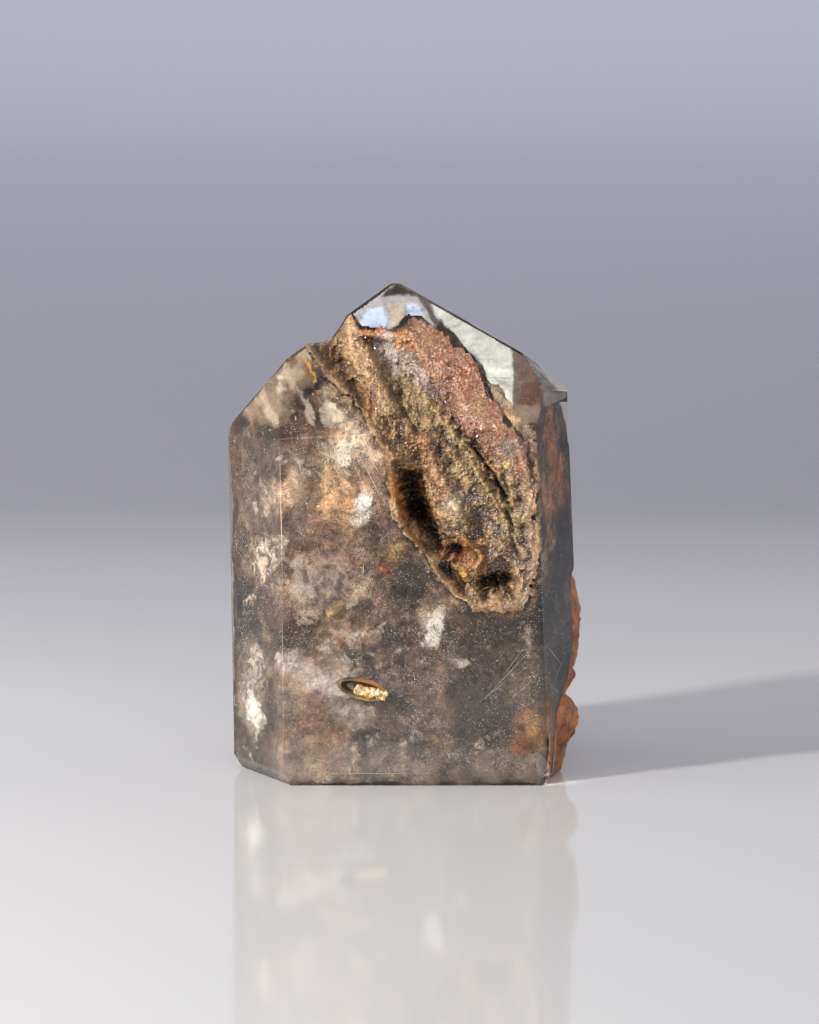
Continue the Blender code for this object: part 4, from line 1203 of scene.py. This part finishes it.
grains = {
    "darkGrains": {
        "count": 5200, "size": (0.05, 0.15), "seed": 5, "roughness": 0.45, "shine": 0.5,
        "tones": [(0.4, (0.012, 0.011, 0.008)), (0.5, (0.06, 0.045, 0.02)), (0.6, (0.10, 0.035, 0.012))],
    },
    "brightGrains": {
        "count": 2300, "size": (0.035, 0.085), "seed": 6, "roughness": 0.3, "shine": 0.8,
        "tones": [(0.4, (0.66, 0.58, 0.48)), (0.55, (0.86, 0.82, 0.77)), (0.65, (0.72, 0.52, 0.28))],
    },
}


def placesUnderFront(rng, count):  # spread over the front faces, at depths that favour the first millimetre
    x = rng.uniform(-26.0, 22.0, count * 3)
    z = rng.uniform(1.0, 66.0, count * 3)
    depth = 0.25 + 2.2 * rng.random(count * 3) ** 1.6
    keep = rimDistance(x, z, hollow["rim"]) < -0.9
    x, z, depth = x[keep][:count], z[keep][:count], depth[keep][:count]
    places = np.column_stack([x, surfaceFromFront(x, z) + depth * 1.15, z])
    return places[insideStone(places, 0.15)]


def makeGrains():
    for name, own in grains.items():
        rng = np.random.default_rng(own["seed"])
        places = placesUnderFront(rng, own["count"])
        wide, fine = smoothNoise(places, 4.5, own["seed"] + 200), smoothNoise(places, 1.6, own["seed"] + 210)
        places = places[wide + 0.5 * fine > -0.15]
        count = len(places)
        sizes = rng.uniform(*own["size"], (count, 1)) * rng.uniform(0.5, 1.3, (count, 3))
        addGrains(name, rng, places, sizes, grainMaterial(name))


def grainMaterial(name):
    paint = Paint(name)
    own = grains[name]
    colour = paint.ramp(paint.noise(1.4, 2.0), own["tones"])
    return paint.finish(Base_Color=colour, Roughness=own["roughness"], Specular_IOR_Level=own["shine"])


needles = [  # middle, spread, way they run, how far that strays, length, radius, count
    ((15.0, -10.0, 64.2), (5.0, 2.0, 1.2), (1.0, 0.1, -0.14), 0.07, (8.0, 16.0), (0.018, 0.045), 34),
    ((15.0, -10.0, 63.0), (5.0, 2.5, 3.0), (1.0, 0.1, 0.1), 0.35, (5.0, 12.0), (0.015, 0.03), 20),
    ((24.0, -7.0, 57.0), (1.6, 4.0, 4.0), (0.5, 0.6, -0.5), 0.5, (3.0, 7.0), (0.015, 0.035), 26),
    ((22.0, -9.0, 32.0), (2.5, 5.0, 7.0), (0.3, 0.6, 0.7), 0.6, (3.0, 8.0), (0.03, 0.06), 34),
    ((16.0, -16.2, 18.0), (5.0, 0.7, 6.0), (0.75, 0.05, 0.62), 0.22, (4.0, 11.0), (0.03, 0.06), 26),
    ((-3.0, -16.2, 34.0), (5.0, 0.7, 6.0), (0.5, 0.05, 0.85), 0.4, (2.0, 6.0), (0.03, 0.07), 34),
    ((-1.0, -16.0, 26.0), (6.0, 0.7, 3.0), (0.8, 0.05, 0.6), 0.25, (3.0, 7.0), (0.03, 0.055), 14),
]
strands = {  # start and end as seen from the front, depth under the face, radius
    "blackNeedles": [
        (-7, 27.2, -2.9, 31.1, 0.5, 0.07), (-6.4, 28.4, -4, 31.6, 0.7, 0.045),
        (-10.9, 40.8, -9.6, 39.2, 0.5, 0.06), (-5.4, 41.2, -4.6, 39.6, 0.5, 0.05),
        (15.8, 25, 19.9, 23.5, 0.5, 0.07), (14.4, 3.2, 17.2, 5.4, 0.4, 0.06),
        (12.4, 14.6, 21.2, 22.4, 0.7, 0.035), (14.6, 13.8, 21.6, 20.6, 0.6, 0.03),
        (11.2, 17.6, 20.8, 26.4, 0.8, 0.03), (-2.4, 36.6, -0.2, 33.6, 0.5, 0.05),
        (22.9, 25.4, 26.4, 31.6, 0.5, 0.06), (23.2, 28.6, 26.6, 24.2, 0.5, 0.05),
        (12.6, 66.1, 22.6, 65.4, 0.35, 0.035), (13.4, 65.6, 23.4, 64.4, 0.4, 0.03),
        (14.6, 64.9, 22.2, 66, 0.3, 0.025), (13, 65.9, 20.4, 63.9, 0.4, 0.022),
        (16.4, 66.4, 24.6, 63.2, 0.3, 0.025), (18.6, 62.6, 22.6, 66.6, 0.3, 0.02),
        (19.6, 60.8, 24.4, 64.6, 0.3, 0.025), (20.6, 59.6, 25.2, 62.2, 0.3, 0.022),
        (22.8, 21, 25.8, 27.2, 0.6, 0.045), (23.4, 17.4, 26.8, 21.2, 0.5, 0.04),
    ],
    "paleStrandsAndEdgeGlints": [
        (13.6, 15, 20.8, 22.8, 0.4, 0.022), (15.4, 17.2, 20, 23.6, 0.5, 0.018),
        (11.6, 13.4, 17.6, 18.2, 0.5, 0.02), (16.6, 13.6, 21.4, 18.2, 0.4, 0.018),
        (-6.4, 34.6, -6.3, 36.8, 0.3, 0.06), (23, 23.4, 26, 18.4, 0.4, 0.04),
        (23.4, 14.8, 26.6, 20.8, 0.4, 0.035), (-7.4, 55.4, -2.9, 46.2, 0.4, 0.035),
        (-8.6, 54.6, -4.2, 45, 0.5, 0.025), (-6.6, 56, -2.6, 49.6, 0.3, 0.025),
        (-19.2, 17.8, -19, 20.6, 0.3, 0.05), (-20.6, 18.6, -20.5, 20.2, 0.3, 0.05),
        # painted highlights: pale lines just inside the left front edge and along the foot, where polished
        # edges catch light, partly the edges' own wear
        (-19.1, 3, -19.4, 31, 0.2, 0.022), (-19.3, 33, -19.7, 55.5, 0.2, 0.026),
        (-18.6, 2.3, 8, 2.3, 0.25, 0.02),
    ],
}


def barTurns(ways, up):  # turns that lay an octahedron's own z axis along each way
    side = np.cross(ways, up)
    side /= np.linalg.norm(side, axis=1, keepdims=True)
    return np.stack([side, np.cross(ways, side), ways], axis=2)


def strandBars(name):  # the listed strands as thin bars under the front faces
    x0, z0, x1, z1, depth, radius = np.array(strands[name]).T
    starts = np.column_stack([x0, surfaceFromFront(x0, z0) + depth * 1.1, z0])
    ends = np.column_stack([x1, surfaceFromFront(x1, z1) + depth * 1.1, z1])
    radius = radius[:, None]
    half = np.linalg.norm(ends - starts, axis=1, keepdims=True) / 2
    turns = barTurns((ends - starts) / (2 * half), [0.0, 1.0, 0.0])
    return stampMany((starts + ends) / 2, turns, np.hstack([radius, radius, half]))


def makeNeedles():  # long six-pointed bars: an octahedron drawn out along its own z axis
    rng = np.random.default_rng(31)
    parts, used = [], 0
    for middle, spread, way, stray, lengths, radii, count in needles:
        centres = np.array(middle) + rng.normal(size=(count, 3)) * np.array(spread) * 0.6
        ways = np.array(way) + rng.normal(size=(count, 3)) * stray
        ways /= np.linalg.norm(ways, axis=1, keepdims=True)
        half = rng.uniform(*lengths, (count, 1)) / 2
        fits = insideStone(centres + ways * half, 0.25) & insideStone(centres - ways * half, 0.25)
        centres, ways, half = centres[fits], ways[fits], half[fits]
        radius = rng.uniform(*radii, (len(half), 1))
        turns = barTurns(ways, [0.31, 0.2, 0.93])
        parts.append(stampMany(centres, turns, np.hstack([radius, radius, half])))
    parts.append(strandBars("blackNeedles"))
    points = np.concatenate([part[0] for part in parts])
    faces = []
    for partPoints, partFaces in parts:
        faces.append(partFaces + used)
        used += len(partPoints)
    paint = Paint("blackNeedle")
    tone = paint.ramp(paint.noise(2.0), [(0.4, (0.012, 0.010, 0.010)), (0.65, (0.07, 0.045, 0.03))])
    material = paint.finish(Base_Color=tone, Roughness=0.25, Specular_IOR_Level=0.7)
    addPiece("blackNeedles", points, faces, material, smooth=False)
    points, faces = strandBars("paleStrandsAndEdgeGlints")
    paint = Paint("paleStrandAndEdgeGlint")
    material = paint.finish(Base_Color=(0.84, 0.72, 0.50), Roughness=0.3, Specular_IOR_Level=0.7)
    addPiece("paleStrandsAndEdgeGlints", points, [faces], material, smooth=False)
    print("needles are in place")


flakes = {
    "middles": [(-18.0, -13.0, 62.0), (-19.5, -12.0, 65.0), (-12.0, -13.0, 64.0), (-15.0, -12.0, 60.0)],
    "count": 60,
    "spread": 2.6,
    "size": (0.3, 0.8),
    "seed": 44,
}


def makeFlakes():  # thin six-sided plates on healed cracks, which flash where they face a light
    rng = np.random.default_rng(flakes["seed"])
    middles, count = np.array(flakes["middles"]), flakes["count"]
    centres = middles[rng.integers(0, len(middles), count)] + rng.normal(size=(count, 3)) * flakes["spread"]
    centres = centres[insideStone(centres, 0.7)]
    size = rng.uniform(*flakes["size"], (len(centres), 1))
    sizes = np.hstack([size, size * rng.uniform(0.3, 0.8, (len(centres), 1)), np.full_like(size, 0.02)])
    paint = Paint("crackFlake")
    sheen = paint.ramp(paint.noise(4.0), [(0.4, (0.90, 0.90, 0.88)), (0.6, (0.95, 0.86, 0.68))])
    material = paint.finish(Base_Color=sheen, Metallic=0.6, Roughness=0.25)
    addGrains("crackFlakes", rng, centres, sizes, material)


# The small natural pit low on the front, with pale ochre grains in it

pit = {
    "middle": (-6.5, -18.5, 16.2),
    "half": (4.1, 2.7, 1.55),
    "tilt": 14.0,
    "rows": 30,
    "turns": 72,
    "grains": 260,
}


def makePit():  # the lower half of the pit's ellipsoid as a thin cup
    rows, turns = pit["rows"], pit["turns"]
    turn = np.arange(turns) / turns * 2 * math.pi
    level, turn = (part.ravel() for part in np.meshgrid(np.linspace(0.02, 1.0, rows), turn, indexing="ij"))
    down = level * 1.38
    inward = np.column_stack([np.sin(down) * np.cos(turn), np.cos(down), np.sin(down) * np.sin(turn)])
    angle = math.radians(pit["tilt"])
    cosine, sine = math.cos(angle), math.sin(angle)
    spin = np.array([[cosine, 0, sine], [0, 1, 0], [-sine, 0, cosine]])
    wobble = 1.0 + 0.05 * layeredNoise(inward * 4.0, 1.5, 601)
    middle = np.array(pit["middle"])
    half, count = np.array(pit["half"]), rows * turns
    sheets = [(inward * (half + grow) * wobble[:, None]) @ spin.T + middle for grow in (-0.42, 0.2)]
    points = np.concatenate(sheets)
    ring = np.arange(count).reshape(rows, turns)
    after = np.roll(ring, -1, axis=1)
    quads = np.stack([ring[:-1], ring[1:], after[1:], after[:-1]], axis=-1).reshape(-1, 4)
    lip = np.column_stack([ring[-1], ring[-1] + count, after[-1] + count, after[-1]])
    faces = [np.concatenate([quads[:, ::-1], quads + count, lip]), [ring[0]], [ring[0][::-1] + count]]
    piece = addPiece("pitLining", points, faces, pitMaterial())
    local = (points - middle) @ spin
    stops = [
        (-4.0, (120, 104, 66)), (-2.6, (74, 64, 40)), (-1.6, (120, 92, 46)),
        (0.5, (150, 108, 54)), (3.4, (134, 98, 50)),
    ]
    tones = gradient(local[:, 0], stops)
    tones = toward(tones, spotShare(local, -2.4, -0.1, 1.25, 1.15, 0, 1.2, 3.0), screen(60, 54, 34))
    below = smoothStep(0.0, -0.8, local[:, 0] + 1.5 * local[:, 2] - 1.0)
    edge = smoothStep(0.5, 0.1, local[:, 1]) * (0.3 + 0.7 * below)
    giveColours(piece, "tone", toward(tones, 0.6 * edge, screen(196, 170, 122)))
    makePitGrains(spin)


def makePitGrains(spin):  # lumps that fill the right end of the pit, at random depths within its ellipsoid
    rng = np.random.default_rng(611)
    halfX, deep, halfZ = pit["half"]
    share = rng.random(pit["grains"])
    x = -0.9 + 4.8 * share
    z = 0.35 - 1.5 * rng.random(len(share)) * (1.0 - 0.2 * share)
    reach = 1.0 - (x / halfX) ** 2 - (z / halfZ) ** 2
    x, z, reach = (values[reach > 0.02] for values in (x, z, reach))
    y = deep * np.sqrt(reach) * rng.uniform(0.2, 0.9, len(x)) + 0.1
    centres = np.column_stack([x, y, z]) @ spin.T + np.array(pit["middle"])
    sizes = rng.uniform(0.25, 0.6, (len(x), 1)) * rng.uniform(0.7, 1.2, (len(x), 3))
    paint = Paint("ochreGrain")
    tones = [(0.38, (0.42, 0.22, 0.06)), (0.5, (0.74, 0.55, 0.28)), (0.62, (0.90, 0.80, 0.58))]
    bump = paint.bump(paint.noise(0.15), 0.05)
    material = paint.finish(Base_Color=paint.ramp(paint.noise(0.9), tones), Roughness=0.5, Normal=bump)
    addGrains("ochreGrains", rng, centres, sizes, material)


def pitMaterial():
    paint = Paint("pitLining")
    grain = paint.noise(0.3, 3.0, 0.6)
    grit = paint.grit(grain, 0.32, 0.68, (0.30, 0.28, 0.26), (0.74, 0.73, 0.72))
    colour = paint.mix(0.6, paint.attribute("tone", "Color"), grit, "OVERLAY")
    return paint.finish(Base_Color=colour, Roughness=0.35, Normal=paint.bump(grain, 0.08))


# The rusty natural skin low on the right


def makeSkin():  # the skin's coarse surface and its plate, with fine lumps on top, as a thin closed coat
    coarseY, coarseZ, coarseShape = gridOf(skin["box"], skin["cell"])
    coarse = skinFloor(coarseY, coarseZ).reshape(coarseShape)
    y, z, shape = gridOf(skin["box"], skin["fineCell"])
    ys, zs = coarseY.reshape(coarseShape)[0], coarseZ.reshape(coarseShape)[:, 0]
    column = np.clip((y - ys[0]) / (ys[1] - ys[0]), 0, len(ys) - 1.001)
    row = np.clip((z - zs[0]) / (zs[1] - zs[0]), 0, len(zs) - 1.001)
    i, j = column.astype(int), row.astype(int)
    s, t = column - i, row - j
    low, high = (coarse[k, i] * (1 - s) + coarse[k, i + 1] * s for k in (j, j + 1))
    x = low * (1 - t) + high * t
    (plateX, plateY, plateZ), (halfX, halfY, halfZ) = skin["plate"]
    rise = 1.0 - ((y - plateY) / halfY) ** 2 - ((z - plateZ) / halfZ) ** 2
    x = np.maximum(x, np.where(rise > 0, plateX + halfX * np.sqrt(np.maximum(rise, 0)), -60.0))
    places = np.column_stack([x, y, z])
    inside = rimDistance(y, z, skin["rim"])
    detail = 0.1 + 0.45 * pointField(y + 0.4 * z, z, 3.6, 1.1, 31) + 0.14 * craggy(places, 1.8, 157, 3)
    detail = np.maximum(detail, 0.05) * np.clip(inside / 1.2, 0.0, 1.0)
    outer, inner = (np.column_stack([x + shift, y, z]) for shift in (detail, -skin["thickness"]))
    torn = 0.3 * layeredNoise(places, 1.6, 163)
    keep = (inside > 0.25 + torn + 0.2 * np.clip(8.0 - z, 0.0, 8.0)) & (z > 0.05)
    points, faces, _ = shellOf(outer, inner, keep, shape)
    addPiece("ironSkin", points, [faces], skinMaterial(), smooth=False)
    print("ironSkin", len(faces), "quads")


def skinMaterial():
    paint = Paint("ironStain")
    blotch = paint.noise(3.0, 8.0, 0.72, warp=0.25)
    grain = paint.noise(0.5, 3.0, 0.7)
    colour = paint.ramp(blotch, [
        (0.30, (0.035, 0.013, 0.006)), (0.42, (0.15, 0.040, 0.008)),
        (0.55, (0.38, 0.115, 0.012)), (0.72, (0.58, 0.22, 0.03)),
    ])
    colour = paint.mix(paint.ease(grain, 0.5, 0.75) * 0.3, colour, (0.52, 0.27, 0.10))
    return paint.finish(
        Base_Color=colour,
        Roughness=0.26 + 0.2 * grain,
        Specular_IOR_Level=0.5,
        Normal=paint.bump(grain, 0.05, 0.7),
    )


def main():
    bpy.context.scene.view_settings.view_transform = "Standard"
    makeCamera()
    makeLights()
    makeStage()
    print("camera, lights and stage are in place")
    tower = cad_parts["quartz_tower"]
    tower.data.materials.clear()
    tower.data.materials.append(quartzMaterial())
    tower.visible_shadow = False  # lamps reach what is inside the clear stone, as light through it would
    for make in (
        makeDruzy, makeSparks, makeGarden, makeFrontVeil, makeCrownVeilAndReflections, makePit, makeGrains, makeNeedles,
        makeFlakes, makeSkin,
    ):
        make()
    print("all pieces are made")


main()
